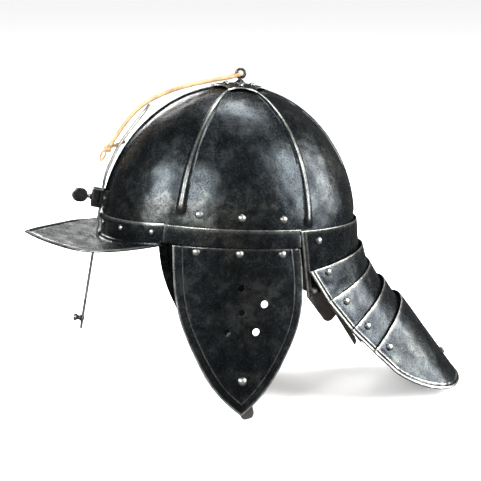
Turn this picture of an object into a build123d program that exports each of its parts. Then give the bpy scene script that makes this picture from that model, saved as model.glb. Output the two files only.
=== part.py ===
"""Lobster-tailed helmet: ribbed skull, peak, sliding nasal bar, hinged cheeks and a neck guard of lames.

Millimetres. The origin is the centre of the head opening, +Z is up, the front is -Y and the wearer's
left is +X. Each sub-part is written to parts/NODE.step.
"""
from build123d import *
from math import atan2, cos, degrees, hypot, pi, radians, sin, sqrt, tan
import os

# ---- driving dimensions -------------------------------------------------------------------------
WALL = 1.5                      # skull, peak and cheek plate
LAME_WALL = 1.2                 # neck guard plate
SKULL_HALF = (97.0, 116.0, 130.0)   # outer half sizes of the skull: across, fore-aft, up
SKULL_CENTRE_Y = 1.0
SEAM_TURN = 60                  # the surfaces' seam lies between two ribs, clear of every hole
DOME_TILT = 4.7                 # the dome leans back, degrees
RIM_TILT = 3.0                  # the rim plane falls towards the back, degrees
RIB_ANGLES = (0.0, 62.0, 121.5, 180.0, -121.5, -62.0)   # round the skull from the front
RIB_HEIGHT = 2.0
RIB_WIDTH = (3.0, 9.5)          # near the crown, near the rim
RIB_FOOT = (24.0, 19.0)         # height of the ribs' feet over the dome's equator: front three, rear three
LEATHER = 2.0
FIT_GAP = 0.15                  # between plates of one body that lie on each other
ROOM = 400.0                    # larger than the helmet, for cutting shapes

BAND_HEIGHT = 15.5
BAND_WALL = 1.2
BAND_FROM_Y = -65.0
BAND_TO_Y = 54.2
BAND_GAP = 0.6                  # between the peak's flange and the side bands

PEAK_TIP_Y = -185.0
PEAK_HALF_WIDTH = 82.0
PEAK_WIDEST_Y = -116.0
PEAK_END_Y = -67.0
PEAK_Z = -0.5                   # underside of the peak at its tip and ends
PEAK_BORDER = 4.5               # raised rim along the peak's edge
PEAK_BEAD = 0.8                 # how far that rim stands up
PEAK_DIP = 4.5                  # the peak sags this far between its tip and its ends
FLANGE_TOP = (11.5, 16.3)       # height of the peak's upturned flange over the rim, in front and at its ends
FLANGE_ANGLE = 56.0             # how far the flange reaches round the skull from the front

BAR_WIDTH = 11.0
BAR_THICK = 2.0
BAR_PATH = ((-135.6, -91.2), (-110.9, 52.0), (-98.0, 79.0), (-70.0, 114.5))   # (Y, Z), bottom to top
BAR_PATH_RADII = (60.0, 90.0)
BAR_HOLE = (-97.8, 79.2)
KNOB_Z = -81.5
SCREW_Z = 30.0
BRACKET_HEIGHT = 16.5

CHEEK_HALF_X = 96.0             # outer half width of the cheeks at the hinge
CHEEK_HALF_Y = 114.0            # the cheeks' plan is an ellipse with this fore-aft half size
CHEEK_TILT = 3.6                # the plates hang this far outwards
CHEEK_TOP = -1.2                # top edge under the rim plane
CHEEK_DEPTH = 148.0
EAR_HOLE_R = 3.2
CHEEK_BORDER = 8.0
PANEL_RAISE = 0.9

RIVET_HEAD_R = 3.7
RIVET_HEAD_H = 1.9
SHANK_R = 1.8
SET_HEAD = 0.4                  # the small set head starts this far inside the innermost layer

LAME_SPREAD = 62.0              # a lame reaches this far round from the back, in ellipse degrees
PIVOT_PLAY = 0.35               # round a pivot's shank in the upper lame

THONG_D = 3.5

HINGE_YS = (-37.5, 0.0, 38.2)   # the three hinge rivets of a cheek
SIDES = {"left": 1, "right": -1}

os.makedirs("parts", exist_ok=True)
parts = {}

# ---- the skull's own frame: its rim plane is the local XY plane ---------------------------------
rim = Plane.XY.rotated((-RIM_TILT, 0, 0))
dome = Plane.XY.rotated((-DOME_TILT, 0, 0)) * Pos(0, SKULL_CENTRE_Y, 0)


def ellipsoid(grow):
    """Solid ellipsoid of the skull, grown by a distance, in the row's frame."""
    a, b, c = (half + grow for half in SKULL_HALF)
    return dome * scale(Rot(0, 0, SEAM_TURN) * Sphere(1), by=(a, b, c))


def rim_slab(low, high):
    """Everything between two heights over the rim plane."""
    return rim * Pos(0, 0, (low + high) / 2) * Box(ROOM, 2 * ROOM, high - low)


def placed(frame, point, normal):
    """Point and normal carried from a tilted frame into the row's frame."""
    spot = Plane(frame * Plane(origin=point, z_dir=normal).location)
    return spot.origin, spot.z_dir


def skull_point(angle, height, grow=0.0):
    """Point and outward normal on the skull, by angle from the front and height over the dome's equator."""
    a, b, c = (half + grow for half in SKULL_HALF)
    ring = sqrt(1 - (height / c) ** 2)
    x = a * ring * sin(radians(angle))
    y = -b * ring * cos(radians(angle))
    normal = Vector(x / a**2, y / b**2, height / c**2).normalized()
    return placed(dome, (x, y, height), normal)


def hinge_angle(y):
    """Angle round the skull, from the front, of a hinge rivet at a fore-aft place."""
    share = (y - SKULL_CENTRE_Y) / SKULL_HALF[1]
    return degrees(atan2(sqrt(1 - share**2), -share))


def rivet(point, normal, grip, head_r=RIVET_HEAD_R, head_h=RIVET_HEAD_H, shank_r=SHANK_R):
    """Domed rivet whose head's underside is at point; the shank goes grip deep to a small set head."""
    ball_r = (head_r**2 + head_h**2) / (2 * head_h)
    cap = Pos(0, 0, head_h - ball_r) * Sphere(ball_r) & Pos(0, 0, 5) * Box(20, 20, 10)
    collar = Pos(0, 0, -0.25) * Cylinder(head_r, 0.5)
    shank = Pos(0, 0, -grip / 2) * Cylinder(shank_r, grip)
    foot = Pos(0, 0, -grip - 0.5) * Cylinder(shank_r + 1.2, 1.0)
    return Plane(origin=point, z_dir=normal) * (cap + collar + shank + foot)


def drill(point, normal, radius, depth=12.0):
    """Cylinder through a plate at a point, to cut a hole."""
    return Plane(origin=point, z_dir=normal) * Cylinder(radius, depth)


def mirrored(shape):
    """The same shape on the wearer's other side."""
    return mirror(shape, about=Plane.YZ)


def set_in(points, distance):
    """Points of a smooth outline, each moved to its left by a distance."""
    moved = []
    for k, (u, v) in enumerate(points):
        before = points[max(k - 1, 0)]
        after = points[min(k + 1, len(points) - 1)]
        run_u, run_v = after[0] - before[0], after[1] - before[1]
        size = hypot(run_u, run_v)
        moved.append((u - distance * run_v / size, v + distance * run_u / size))
    return moved


# ---- skull ---------------------------------------------------------------------------------------
inside = ellipsoid(-WALL)
outside = ellipsoid(0)


def rib_wedge(angle):
    """Upright wedge over one rib, narrow at the crown and wide at the rim."""
    narrow, wide = RIB_WIDTH
    far_x = 1.05 * SKULL_HALF[0] * sin(radians(angle))
    far_y = -1.05 * SKULL_HALF[1] * cos(radians(angle))
    reach = hypot(far_x, far_y)
    foot = RIB_FOOT[1] if cos(radians(angle)) < -0.1 else RIB_FOOT[0]
    outline = Polygon((0, -narrow / 2), (reach, -wide / 2), (reach, wide / 2), (0, narrow / 2), align=None)
    turned = Rot(0, 0, degrees(atan2(far_y, far_x))) * outline
    return dome * Pos(0, 0, foot) * extrude(turned, 140)


def make_skull():
    """Ribbed shell, cut off at the rim plane."""
    ribs = Part() + [rib_wedge(angle) for angle in RIB_ANGLES]
    ribs = ribs & ellipsoid(RIB_HEIGHT)
    shell = outside + ribs - inside
    return shell & rim_slab(0, 200)


skull = make_skull()


# ---- side bands over the skull's edge -----------------------------------------------------------
def plate_on_skull(low, high, thick, grow=FIT_GAP):
    """Ring of plate that lies on the skull between two heights over the rim."""
    return (ellipsoid(grow + thick) - ellipsoid(grow)) & rim_slab(low, high)


band_ring = plate_on_skull(-0.3, BAND_HEIGHT, BAND_WALL)
band_reach = Pos(100, (BAND_FROM_Y + BAND_TO_Y) / 2, 0) * Box(200, BAND_TO_Y - BAND_FROM_Y, 200)
parts["side_band_left"] = band_ring & band_reach
parts["side_band_right"] = mirrored(parts["side_band_left"])


# ---- peak ----------------------------------------------------------------------------------------
def peak_outline(border=0.0):
    """Pointed arch seen from above, or the line a border's width inside it."""
    half = [
        (0, PEAK_TIP_Y),
        (22, PEAK_TIP_Y + 10),
        (42, -163),
        (62, -149),
        (77, -134),
        (PEAK_HALF_WIDTH, PEAK_WIDEST_Y),
        (81.5, -95),
        (79, PEAK_END_Y),
    ]
    half = [(0, PEAK_TIP_Y + 1.12 * border)] + set_in(half, border)[1:]
    right = Spline(*half)
    left = Spline(*[(-x, y) for x, y in half])
    back = Line(half[-1], (-half[-1][0], half[-1][1]))
    return make_face([right, left, back])


def bar_slot(play):
    """Opening that follows the straight part of the bar."""
    (low_y, low_z), (high_y, high_z) = BAR_PATH[:2]
    along = Vector(0, high_y - low_y, high_z - low_z).normalized()
    frame = Plane(origin=(0, low_y, low_z), x_dir=(1, 0, 0), z_dir=along)
    return frame * Pos(0, 0, 80) * Box(BAR_WIDTH + 2 * play, BAR_THICK + 2 * play, 240)


def flange_top_cut():
    """Everything below the flange's top edge, which climbs from the front to the temples."""
    front, end = FLANGE_TOP
    climb = degrees(atan2(end - front, SKULL_HALF[1] + BAND_FROM_Y))
    edge = rim * Pos(0, BAND_FROM_Y, end) * Rot(climb, 0, 0)
    return edge * Pos(0, 0, -50) * Box(ROOM, ROOM, 100)


def peak_bowl(rise):
    """Everything over the peak's dished underside, or over a surface a rise above it."""
    chord = PEAK_END_Y - PEAK_TIP_Y
    radius = (chord**2 / 4 + PEAK_DIP**2) / (2 * PEAK_DIP)
    axis = Pos(0, (PEAK_END_Y + PEAK_TIP_Y) / 2, PEAK_Z - PEAK_DIP + radius) * Rot(0, 90, 0)
    return axis * Cylinder(radius - rise, ROOM)


def peak_prism(border=0.0):
    """The peak's outline, or the line a border's width inside it, carried up and down."""
    return Pos(0, 0, -40) * extrude(peak_outline(border), 80)


def make_peak():
    """Dished brim with a raised rim, and a flange turned up against the skull."""
    brim = peak_prism() & (peak_bowl(0) - peak_bowl(WALL))
    brim += (peak_prism() - peak_prism(PEAK_BORDER)) & (peak_bowl(0) - peak_bowl(WALL + PEAK_BEAD))
    flange = plate_on_skull(-12.0, FLANGE_TOP[1], BAND_WALL) & flange_top_cut()
    flange &= peak_bowl(0)
    edge_x = 300 * sin(radians(FLANGE_ANGLE))
    edge_y = -300 * cos(radians(FLANGE_ANGLE))
    wedge = Polygon((0, 0), (-edge_x, edge_y), (0, -600), (edge_x, edge_y), align=None)
    flange &= Pos(0, 0, -50) * extrude(wedge, 200)
    flange -= Pos(0, BAND_FROM_Y - BAND_GAP + 100, 0) * Box(ROOM, 200, ROOM)
    body = brim - ellipsoid(FIT_GAP) + flange
    return body - bar_slot(0.8)


peak = make_peak()


# ---- crown: scalloped plate, eye and rivets ------------------------------------------------------
CROWN_LOBES = 6
CROWN_R = 27.0
CROWN_DIP = 8.5
CROWN_WALL = 1.2
CROWN_RIVET_R = 14.0


def crown_outline():
    """Star with rounded bays between its points."""
    step = 360 / CROWN_LOBES
    points = [Vector(CROWN_R, 0).rotate(Axis.Z, 90 + k * step) for k in range(CROWN_LOBES)]
    bays = [Vector(CROWN_R - CROWN_DIP, 0).rotate(Axis.Z, 90 + (k + 0.5) * step) for k in range(CROWN_LOBES)]
    arcs = [ThreePointArc(points[k], bays[k], points[(k + 1) % CROWN_LOBES]) for k in range(CROWN_LOBES)]
    return make_face(arcs)


crown_plate = ellipsoid(RIB_HEIGHT + FIT_GAP + CROWN_WALL) - ellipsoid(RIB_HEIGHT + FIT_GAP)
crown_plate &= dome * Pos(0, 0, 60) * extrude(crown_outline(), 100)

EYE_R = 3.9
EYE_WIRE_R = 1.4
STEM_R = 2.0


def make_eye():
    """Ring on a flared foot, with its stem through the plate and the skull."""
    top = SKULL_HALF[2] + RIB_HEIGHT + FIT_GAP + CROWN_WALL
    ring = Pos(0, 0, top + 8.8) * Rot(0, 90, 0) * Torus(EYE_R, EYE_WIRE_R)
    neck = Pos(0, 0, top + 3.4) * Cylinder(1.9, 4.6)
    foot = Pos(0, 0, top + 0.9) * Cone(5.0, 2.2, 3.0)
    stem = Pos(0, 0, top - 4) * Cylinder(STEM_R, 9)
    nut = Pos(0, 0, SKULL_HALF[2] - WALL - 1.1) * Cylinder(4.0, 2.0)
    return dome * (ring + neck + foot + stem + nut)


eye_hole = dome * Pos(0, 0, 130) * Cylinder(STEM_R, 20)
skull -= eye_hole
crown_plate -= eye_hole
parts["finial_eye"] = make_eye() - crown_plate - skull


def crown_rivet_place(k):
    """Point and outward normal on the crown plate, in the middle of a bay."""
    spot = Vector(CROWN_RIVET_R, 0).rotate(Axis.Z, 90 + (k + 0.5) * 360 / CROWN_LOBES)
    a, b, c = (half + RIB_HEIGHT + FIT_GAP + CROWN_WALL for half in SKULL_HALF)
    up = c * sqrt(1 - (spot.X / a) ** 2 - (spot.Y / b) ** 2)
    normal = Vector(spot.X / a**2, spot.Y / b**2, up / c**2).normalized()
    return placed(dome, (spot.X, spot.Y, up), normal)


crown_rivets = Part()
for k in range(CROWN_LOBES):
    point, normal = crown_rivet_place(k)
    crown_rivets += rivet(point, normal, CROWN_WALL + RIB_HEIGHT + WALL + SET_HEAD, 2.9, 1.8, 1.3)
    hole = drill(point, normal, 1.3)
    skull -= hole
    crown_plate -= hole
parts["rosette_rivets"] = crown_rivets - crown_plate - skull
parts["crown_rosette"] = crown_plate


# ---- nasal bar, its staple, knob and screw -------------------------------------------------------
def make_bar():
    """Flat bar bent to its path."""
    path = FilletPolyline(*[(0, y, z) for y, z in BAR_PATH], radius=BAR_PATH_RADII)
    start = Plane(origin=path @ 0, x_dir=(1, 0, 0), z_dir=path % 0)
    return sweep(start * Rectangle(BAR_WIDTH, BAR_THICK), path)


def bar_frame(z):
    """Plane on the straight bar's centre line at a height: x across, y backwards, z along the bar."""
    (low_y, low_z), (high_y, high_z) = BAR_PATH[:2]
    part = (z - low_z) / (high_z - low_z)
    along = Vector(0, high_y - low_y, high_z - low_z)
    return Plane(origin=(0, low_y + part * along.Y, z), x_dir=(1, 0, 0), z_dir=along.normalized())


bar = make_bar()


def make_knob():
    """Spool on the bar's front, with its tail riveted through the bar."""
    profile = Polyline((0, 1.9), (1.8, 1.9), (1.8, -1), (3.0, -1), (3.0, -2.2), (2.1, -3.0), (2.1, -4.6),
                       (3.6, -5.4), (3.6, -7.4), (2.4, -8.6), (0, -8.6), (0, 1.9))
    spool = revolve(make_face(profile), Axis.Y)
    return bar_frame(KNOB_Z) * spool


knob = make_knob()
bar -= bar_frame(KNOB_Z) * Rot(90, 0, 0) * Cylinder(1.8, 10)
parts["nasal_knob"] = knob - bar
parts["nasal_bar"] = bar

SCREW_R = 2.4
SCREW_BOSS = 7.6
FOOT_WALL = 1.4
FOOT_LOW = 18.4                 # the feet stand clear of the flange's top edge
ON_TOP = (Align.CENTER, Align.CENTER, Align.MIN)


def make_bracket():
    """Staple: a thick front with the screw's hole, two cheeks back to the skull and a foot each side."""
    front = Pos(0, -1.4 - SCREW_BOSS / 2, 0) * Box(16, SCREW_BOSS, BRACKET_HEIGHT)
    legs = [Pos(s * 7.1, 2.5, 0) * Box(1.8, 12, BRACKET_HEIGHT) for s in (1, -1)]
    body = bar_frame(SCREW_Z) * (front + legs)
    foot = ellipsoid(FIT_GAP + FOOT_WALL) - ellipsoid(FIT_GAP)
    foot &= Pos(0, -110, FOOT_LOW) * Box(32, 40, SCREW_Z + BRACKET_HEIGHT / 2 - FOOT_LOW, align=ON_TOP)
    foot -= Pos(0, -110, SCREW_Z) * Box(12.4, 60, 60)
    return body + foot - ellipsoid(FIT_GAP)


bracket = make_bracket()
bracket -= bar_frame(SCREW_Z) * Rot(90, 0, 0) * Pos(0, 0, 5) * Cylinder(SCREW_R + 0.06, 12)
bracket_rivets = Part()
for s in (1, -1):
    for height in (13.5, 22.0):
        point, normal = skull_point(s * 6.3, height, FIT_GAP + FOOT_WALL)
        bracket_rivets += rivet(point, normal, FOOT_WALL + FIT_GAP + WALL + SET_HEAD, 2.4, 1.4, 1.2)
        hole = drill(point, normal, 1.2)
        bracket -= hole
        skull -= hole
parts["bracket_rivets"] = bracket_rivets - bracket - skull
parts["nasal_bracket"] = bracket


def make_screw():
    """Threaded shank, waisted neck and a flat spade head that stands upright, fore and aft."""
    shank = Pos(0, 0, 5.4) * Cylinder(SCREW_R, 8.0)
    neck = Pos(0, 0, 11.4) * Cone(SCREW_R, 1.7, 5)
    spade = Pos(0, 0, 19.8) * Rot(0, 90, 0) * Cylinder(7.4, 3.0)
    spade &= Pos(0, 0, 19.8) * Box(20, 15, 13.6)
    return bar_frame(SCREW_Z) * Rot(90, 0, 0) * (shank + neck + spade)


parts["wing_screw"] = make_screw()

# ---- peak rivets ---------------------------------------------------------------------------------
PEAK_RIVETS = ((10.0, 1.5), (30.0, 3.0), (49.5, 5.5))   # angle from the front, height over the equator
peak_rivets = Part()
for s in (1, -1):
    for angle, height in PEAK_RIVETS:
        point, normal = skull_point(s * angle, height, FIT_GAP + BAND_WALL)
        peak_rivets += rivet(point, normal, BAND_WALL + FIT_GAP + WALL + SET_HEAD, 3.1, 1.9, 1.5)
        hole = drill(point, normal, 1.5)
        peak -= hole
        skull -= hole
parts["peak"] = peak

# ---- cheek pieces --------------------------------------------------------------------------------
CHEEK_FRONT = ((-57.3, 14.0), (-57.6, -20.0), (-53.5, -61.0), (-39.5, -98.0), (-20.5, -129.5))
CHEEK_BACK = ((53.5, 14.0), (57.8, -28.0), (55.0, -66.0), (40.5, -101.0), (20.0, -131.0))
CHEEK_TIP = (0.5, -149.5)
EAR_CENTRE = (1.3, -57.5)
EAR_RING_R = 21.5
EAR_RING_HOLES = 5
TIP_RIVET = (1.3, -117.9)
CHEEK_RIVET_DROP = 4.4          # under the cheek's top edge
HINGE_STANDOFF = 25.6           # height of the upper hinge rivets over the equator
LEATHER_WIDTH = 96.0            # hinge leather, fore and aft
LEATHER_RISE = 4.0              # its lower half starts this far over the cheek's top edge


def cheek_outline(border=0.0):
    """Leaf shape in the fore-aft plane, or the line a border's width inside it."""
    tip = (CHEEK_TIP[0], CHEEK_TIP[1] + 1.25 * border)
    front_points = set_in(CHEEK_FRONT, border)
    back_points = set_in(CHEEK_BACK, -border)
    front = Spline(*front_points, tip)
    back = Spline(*back_points, tip)
    top = Line(front_points[0], back_points[0])
    return make_face([front, back, top])


cheek_hang = rim * Pos(CHEEK_HALF_X, 0, CHEEK_TOP) * Rot(0, -CHEEK_TILT, 0) * Pos(-CHEEK_HALF_X, 0, 0)


def cheek_shell(low, high, rise=0.0):
    """Elliptical tube between two offsets from the cheek's outside, hung at its tilt, from a rise down."""
    start = Pos(0, 0, rise) * Rot(0, 0, 180)
    outer = extrude(start * Ellipse(CHEEK_HALF_X + high, CHEEK_HALF_Y + high), -CHEEK_DEPTH - 10)
    inner = extrude(start * Ellipse(CHEEK_HALF_X + low, CHEEK_HALF_Y + low), -CHEEK_DEPTH - 10)
    return cheek_hang * (outer - inner)


def cheek_prism(border=0.0):
    """The cheek's outline carried across the wearer's left side."""
    return Plane.YZ * Pos(0, 0, 30) * extrude(cheek_outline(border), 120)


def on_cheek(y, down, grow=0.0):
    """Point and outward normal on the cheek, by fore-aft place and distance under its top edge."""
    a = CHEEK_HALF_X + grow
    b = CHEEK_HALF_Y + grow
    x = a * sqrt(1 - (y / b) ** 2)
    normal = Vector(x / a**2, y / b**2, 0).normalized()
    return placed(cheek_hang, (x, y, -down), normal)


def make_cheek():
    """Plate with a raised panel, and a ring of ear holes round a middle one."""
    plate = cheek_shell(-WALL, 0) & cheek_prism()
    plate += cheek_shell(0, PANEL_RAISE) & cheek_prism(CHEEK_BORDER)
    spots = [EAR_CENTRE]
    for k in range(EAR_RING_HOLES):
        turn = radians(90 + k * 360 / EAR_RING_HOLES)
        spots.append((EAR_CENTRE[0] + EAR_RING_R * cos(turn), EAR_CENTRE[1] + EAR_RING_R * sin(turn)))
    for y, z in spots:
        point, normal = on_cheek(y, CHEEK_TOP - z, 0)
        plate -= drill(point, normal, EAR_HOLE_R)
    return plate


cheek = make_cheek()

# cheek rivets, hinge rivets, leathers and strap
cheek_rivets = Part()
hinge_rivets = Part()
leather_holes = Part()
for y in HINGE_YS:
    point, normal = on_cheek(y, CHEEK_RIVET_DROP, PANEL_RAISE)
    cheek_rivets += rivet(point, normal, PANEL_RAISE + WALL + LEATHER + 0.5)
    leather_holes += drill(point, normal, SHANK_R)
    point, normal = skull_point(hinge_angle(y), HINGE_STANDOFF)
    hinge_rivets += rivet(point, normal, WALL + 2 * LEATHER + 1.0)
    leather_holes += drill(point, normal, SHANK_R)
    for s in (1, -1):
        place, out = skull_point(s * hinge_angle(y), HINGE_STANDOFF)
        skull -= drill(place, out, SHANK_R)
cheek -= leather_holes
tip_point, tip_normal = on_cheek(TIP_RIVET[0], CHEEK_TOP - TIP_RIVET[1], PANEL_RAISE)
tip_rivet = rivet(tip_point, tip_normal, PANEL_RAISE + WALL + LEATHER + 0.5, 4.2, 2.1)
tip_hole = drill(tip_point, tip_normal, SHANK_R)
cheek -= tip_hole


def make_cheek_leather():
    """Hinge leather: inside the skull above, inside the cheek below, joined just over the rim."""
    width = Pos(60, 0.4, 0) * Box(120, LEATHER_WIDTH, ROOM)
    depth = -WALL - FIT_GAP
    upper = (ellipsoid(depth) - ellipsoid(depth - LEATHER)) & rim_slab(0.3, 33)
    lower = cheek_shell(depth - LEATHER, depth, LEATHER_RISE) & rim_slab(-14, 1.8)
    return ((upper + lower) & width) - leather_holes


def make_chin_strap():
    """Stub of chin strap: a leather strip down the inside of the cheek, which shows past its tip."""
    strip = cheek_shell(-WALL - FIT_GAP - LEATHER, -WALL - FIT_GAP)
    strip &= Plane.YZ * Pos(TIP_RIVET[0], TIP_RIVET[1] - 10.5, 60) * Rot(0, 0, 13) * extrude(
        RectangleRounded(13, 50, 5.5), 60)
    return strip - tip_hole


cheek_leather = make_cheek_leather()
chin_strap = make_chin_strap()
cheek_parts = {
    "cheek_plate": cheek,
    "cheek_leather": cheek_leather,
    "skull_hinge_rivets": hinge_rivets - skull - cheek_leather,
    "cheek_hinge_rivets": cheek_rivets - cheek - cheek_leather,
    "cheek_tip_rivet": tip_rivet - cheek - chin_strap,
    "chin_strap": chin_strap,
}
for name, solid in cheek_parts.items():
    parts[f"{name}_left"] = solid
    parts[f"{name}_right"] = mirrored(solid)
parts["peak_rivets"] = peak_rivets - peak - skull

# ---- leather liner -------------------------------------------------------------------------------
BAND_LINER_GROW = -4.0
CROWN_LINER_GROW = -6.3
LINER_WALL = 1.8
LINER_TONGUES = 6
LINER_CROWN_R = 17.0            # open ring that the tongues' lace gathers at the crown
NOTCH_PLAY = 1.8                # round a rivet that the liner only has to clear
liner_band = ellipsoid(BAND_LINER_GROW) - ellipsoid(BAND_LINER_GROW - LEATHER)
liner_band &= rim_slab(2.0, 36)
liner_crown = ellipsoid(CROWN_LINER_GROW) - ellipsoid(CROWN_LINER_GROW - LINER_WALL)
liner_crown &= rim_slab(22, 200)
liner_crown -= dome * Pos(0, 0, 100) * Cylinder(LINER_CROWN_R, 100)
slit = Polygon((25, -2), (120, -12), (120, 12), (25, 2), align=None)
for k in range(LINER_TONGUES):
    turned = Rot(0, 0, 90 + (k + 0.5) * 360 / LINER_TONGUES) * slit
    liner_crown -= dome * Pos(0, 0, 44) * extrude(turned, 100)
for s in (1, -1):
    for y in HINGE_YS:
        place, out = skull_point(s * hinge_angle(y), HINGE_STANDOFF)
        liner_band -= drill(place, out, SHANK_R, 14)
        liner_crown -= drill(place, out, SHANK_R + 1.6, 24)
for side in SIDES:
    parts[f"skull_hinge_rivets_{side}"] -= liner_band
parts["liner_band"] = liner_band
parts["liner_crown"] = liner_crown

# ---- neck guard ----------------------------------------------------------------------------------
# Per lame: half width at the front border, then (Y, Z) of its top edge at the border and at the back,
# then the same for its lower edge.
LAMES = {
    1: (88.9, (54.9, 11.6), (120.2, 9.5), 79.0, (62.8, -51.0), (123.3, -31.0)),
    2: (83.6, (63.6, -26.1), (126.2, -14.5), 77.0, (90.0, -68.5), (133.8, -44.0)),
    3: (81.4, (81.0, -54.3), (133.2, -31.7), 74.0, (112.5, -94.0), (149.5, -61.0)),
    4: (78.4, (103.0, -82.2), (147.2, -48.5), 71.0, (134.5, -113.6), (165.0, -76.0)),
}
TAIL_TOP = (75.8, (124.0, -103.1), (163.4, -64.8))
TAIL_LENGTH = 95.0
TAIL_SIDE_LENGTH = 27.0
TAIL_BACK_RUN = (0.0, 0.585, -0.811)
TAIL_SIDE_RUN = (-0.10, 0.715, -0.69)
PIVOT_TURN = 53.0               # ellipse degrees from the back
PIVOT_DROP = {1: 10.3, 2: 5.5, 3: 8.7, 4: 8.0, 5: 9.0}
RUNS = 12
TAIL_RIVET_DROP = 71.0
SKULL_GRIP = 4.9                # of the first lame's rivets, through the skull
LAME_GRIP = 6.4                 # of the others, through two lames and the leather


def round_the_back(turn, half_width, side, back):
    """Point of a lame's edge: an elliptical arc from the front border round the back."""
    full = cos(radians(LAME_SPREAD))
    t = (cos(radians(turn)) - full) / (1 - full)
    x = half_width * sin(radians(turn)) / sin(radians(LAME_SPREAD))
    return Vector(x, side[0] + (back[0] - side[0]) * t, side[1] + (back[1] - side[1]) * t)


def lame_edges(number, turn):
    """Top and bottom point of a lame's outside at a turn from the back."""
    if number in LAMES:
        wide, side, back, low_wide, low_side, low_back = LAMES[number]
        return round_the_back(turn, wide, side, back), round_the_back(turn, low_wide, low_side, low_back)
    top = round_the_back(turn, *TAIL_TOP)
    share = max(0.0, 1 - abs(turn / LAME_SPREAD) ** 3)
    length = TAIL_SIDE_LENGTH + (TAIL_LENGTH - TAIL_SIDE_LENGTH) * share**0.6
    full = cos(radians(LAME_SPREAD))
    t = (cos(radians(turn)) - full) / (1 - full)
    lean = Vector(*TAIL_SIDE_RUN) * (1 - t)
    lean = Vector(lean.X * turn / LAME_SPREAD, lean.Y, lean.Z)
    run = (lean + Vector(*TAIL_BACK_RUN) * t).normalized()
    return top, top + run * length


def lame_normal(number, turn):
    """Outward normal of a lame at a turn from the back."""
    step = 0.5
    before, _ = lame_edges(number, turn - step)
    after, _ = lame_edges(number, turn + step)
    here, low = lame_edges(number, turn)
    return (after - before).cross(low - here).normalized()


def lame_shell(number, depth_from, depth_to, turns, sink=0.0, reach=0.0):
    """Closed strip of a lame between two depths; its top may sink deeper and its low edge reach further."""
    sections = []
    for turn in turns:
        top, low = lame_edges(number, turn)
        normal = lame_normal(number, turn)
        low += (low - top).normalized() * reach
        corners = [top - normal * (depth_from + sink), low - normal * depth_from,
                   low - normal * depth_to, top - normal * (depth_to + sink)]
        sections.append(make_face(Polyline(*corners, close=True)).face())
    return loft(sections)


def lame_place(number, turn, drop):
    """Point and outward normal on a lame's outside, a distance under its top edge."""
    top, low = lame_edges(number, turn)
    return top + (low - top).normalized() * drop, lame_normal(number, turn)


even_turns = [LAME_SPREAD * (2 * k / RUNS - 1) for k in range(RUNS + 1)]
tail_half = [0, 15, 28, 39, 48, 55, 60, LAME_SPREAD]
tail_turns = [-turn for turn in reversed(tail_half[1:])] + tail_half
lames = {number: lame_shell(number, 0, LAME_WALL, even_turns) for number in LAMES}
lames[5] = lame_shell(5, 0, LAME_WALL, tail_turns)

pivots = {}
lame_rivets = {}
for number, drop in PIVOT_DROP.items():
    group = Part()
    grip = SKULL_GRIP if number == 1 else LAME_GRIP
    for s in (1, -1):
        point, normal = lame_place(number, s * PIVOT_TURN, drop)
        group += rivet(point, normal, grip)
        lames[number] -= drill(point, normal, SHANK_R)
        if number > 1:
            lames[number - 1] -= drill(point, normal, SHANK_R + PIVOT_PLAY, 24)
        else:
            skull -= drill(point, normal, SHANK_R, 24)
            parts["liner_band"] -= drill(point, normal, SHANK_R + NOTCH_PLAY, 24)
    pivots[number] = point - normal * 2.2
    lame_rivets[number] = group

tail_rivet_point, tail_rivet_normal = lame_place(5, 0, TAIL_RIVET_DROP)
lames[5] -= drill(tail_rivet_point, tail_rivet_normal, SHANK_R)
parts["tail_rivet"] = rivet(tail_rivet_point, tail_rivet_normal, LAME_WALL + 0.3) - lames[5]

# side leathers: one pair for each lame, from its own rivets to the next lame's
NECK_STRAP_WIDTH = 13.0
STRAP_WALL = 1.6
STRAP_SINK = {1: 4.6, 2: 0.0, 3: 0.0, 4: 0.0}
STRAP_GAP = {1: 4.75, 2: 4.75, 3: 9.4, 4: 8.8}      # from its own pivot to the strap's upper end
STRAP_END = 4.75                # from the strap's lower end to the next pivot
FLAP_REACH = 34.0               # the flaps' leather reaches this far under the lame's lower edge
# flaps that show past the next lame's front border: (Y, Z) of both ends and the width
FLAPS = {1: ((66.0, -41.5), (86.0, -69.0), 15.0), 2: ((87.5, -68.0), (104.0, -92.5), 12.0)}
LOW_RIVET = (58.0, 57.0)        # rivet of the first flap on lame 1: turn from the back, drop from the top


def neck_strap(number):
    """Leather inside a lame, from its own pivot to the next one, one on each side."""
    start, _ = lame_place(number, PIVOT_TURN, PIVOT_DROP[number])
    end, _ = lame_place(number + 1, PIVOT_TURN, PIVOT_DROP[number + 1])
    along = Vector(0, end.Y - start.Y, end.Z - start.Z)
    length = along.length - STRAP_GAP[number] - STRAP_END
    lean = degrees(atan2(along.Z, along.Y))
    middle = Vector(0, start.Y, start.Z) + along.normalized() * (STRAP_GAP[number] + length / 2)
    tongue = Pos(middle.Y, middle.Z) * Rot(0, 0, lean) * RectangleRounded(length, NECK_STRAP_WIDTH, 4)
    depth = LAME_WALL + FIT_GAP
    shell = lame_shell(number, depth, depth + STRAP_WALL, even_turns, STRAP_SINK[number])
    return shell & Plane.YZ * extrude(tongue, 120, both=True)


def neck_flap(number):
    """Leather flap under the front border of the next lame, one on each side."""
    (start_y, start_z), (end_y, end_z), wide = FLAPS[number]
    lean = degrees(atan2(end_z - start_z, end_y - start_y))
    outline = RectangleRounded(hypot(end_y - start_y, end_z - start_z) + wide, wide, 0.48 * wide)
    outline = Pos((start_y + end_y) / 2, (start_z + end_z) / 2) * Rot(0, 0, lean) * outline
    depth = LAME_WALL + FIT_GAP
    shell = lame_shell(number, depth, depth + STRAP_WALL, even_turns, 0.0, FLAP_REACH)
    return shell & Plane.YZ * extrude(outline, 120, both=True)


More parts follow.
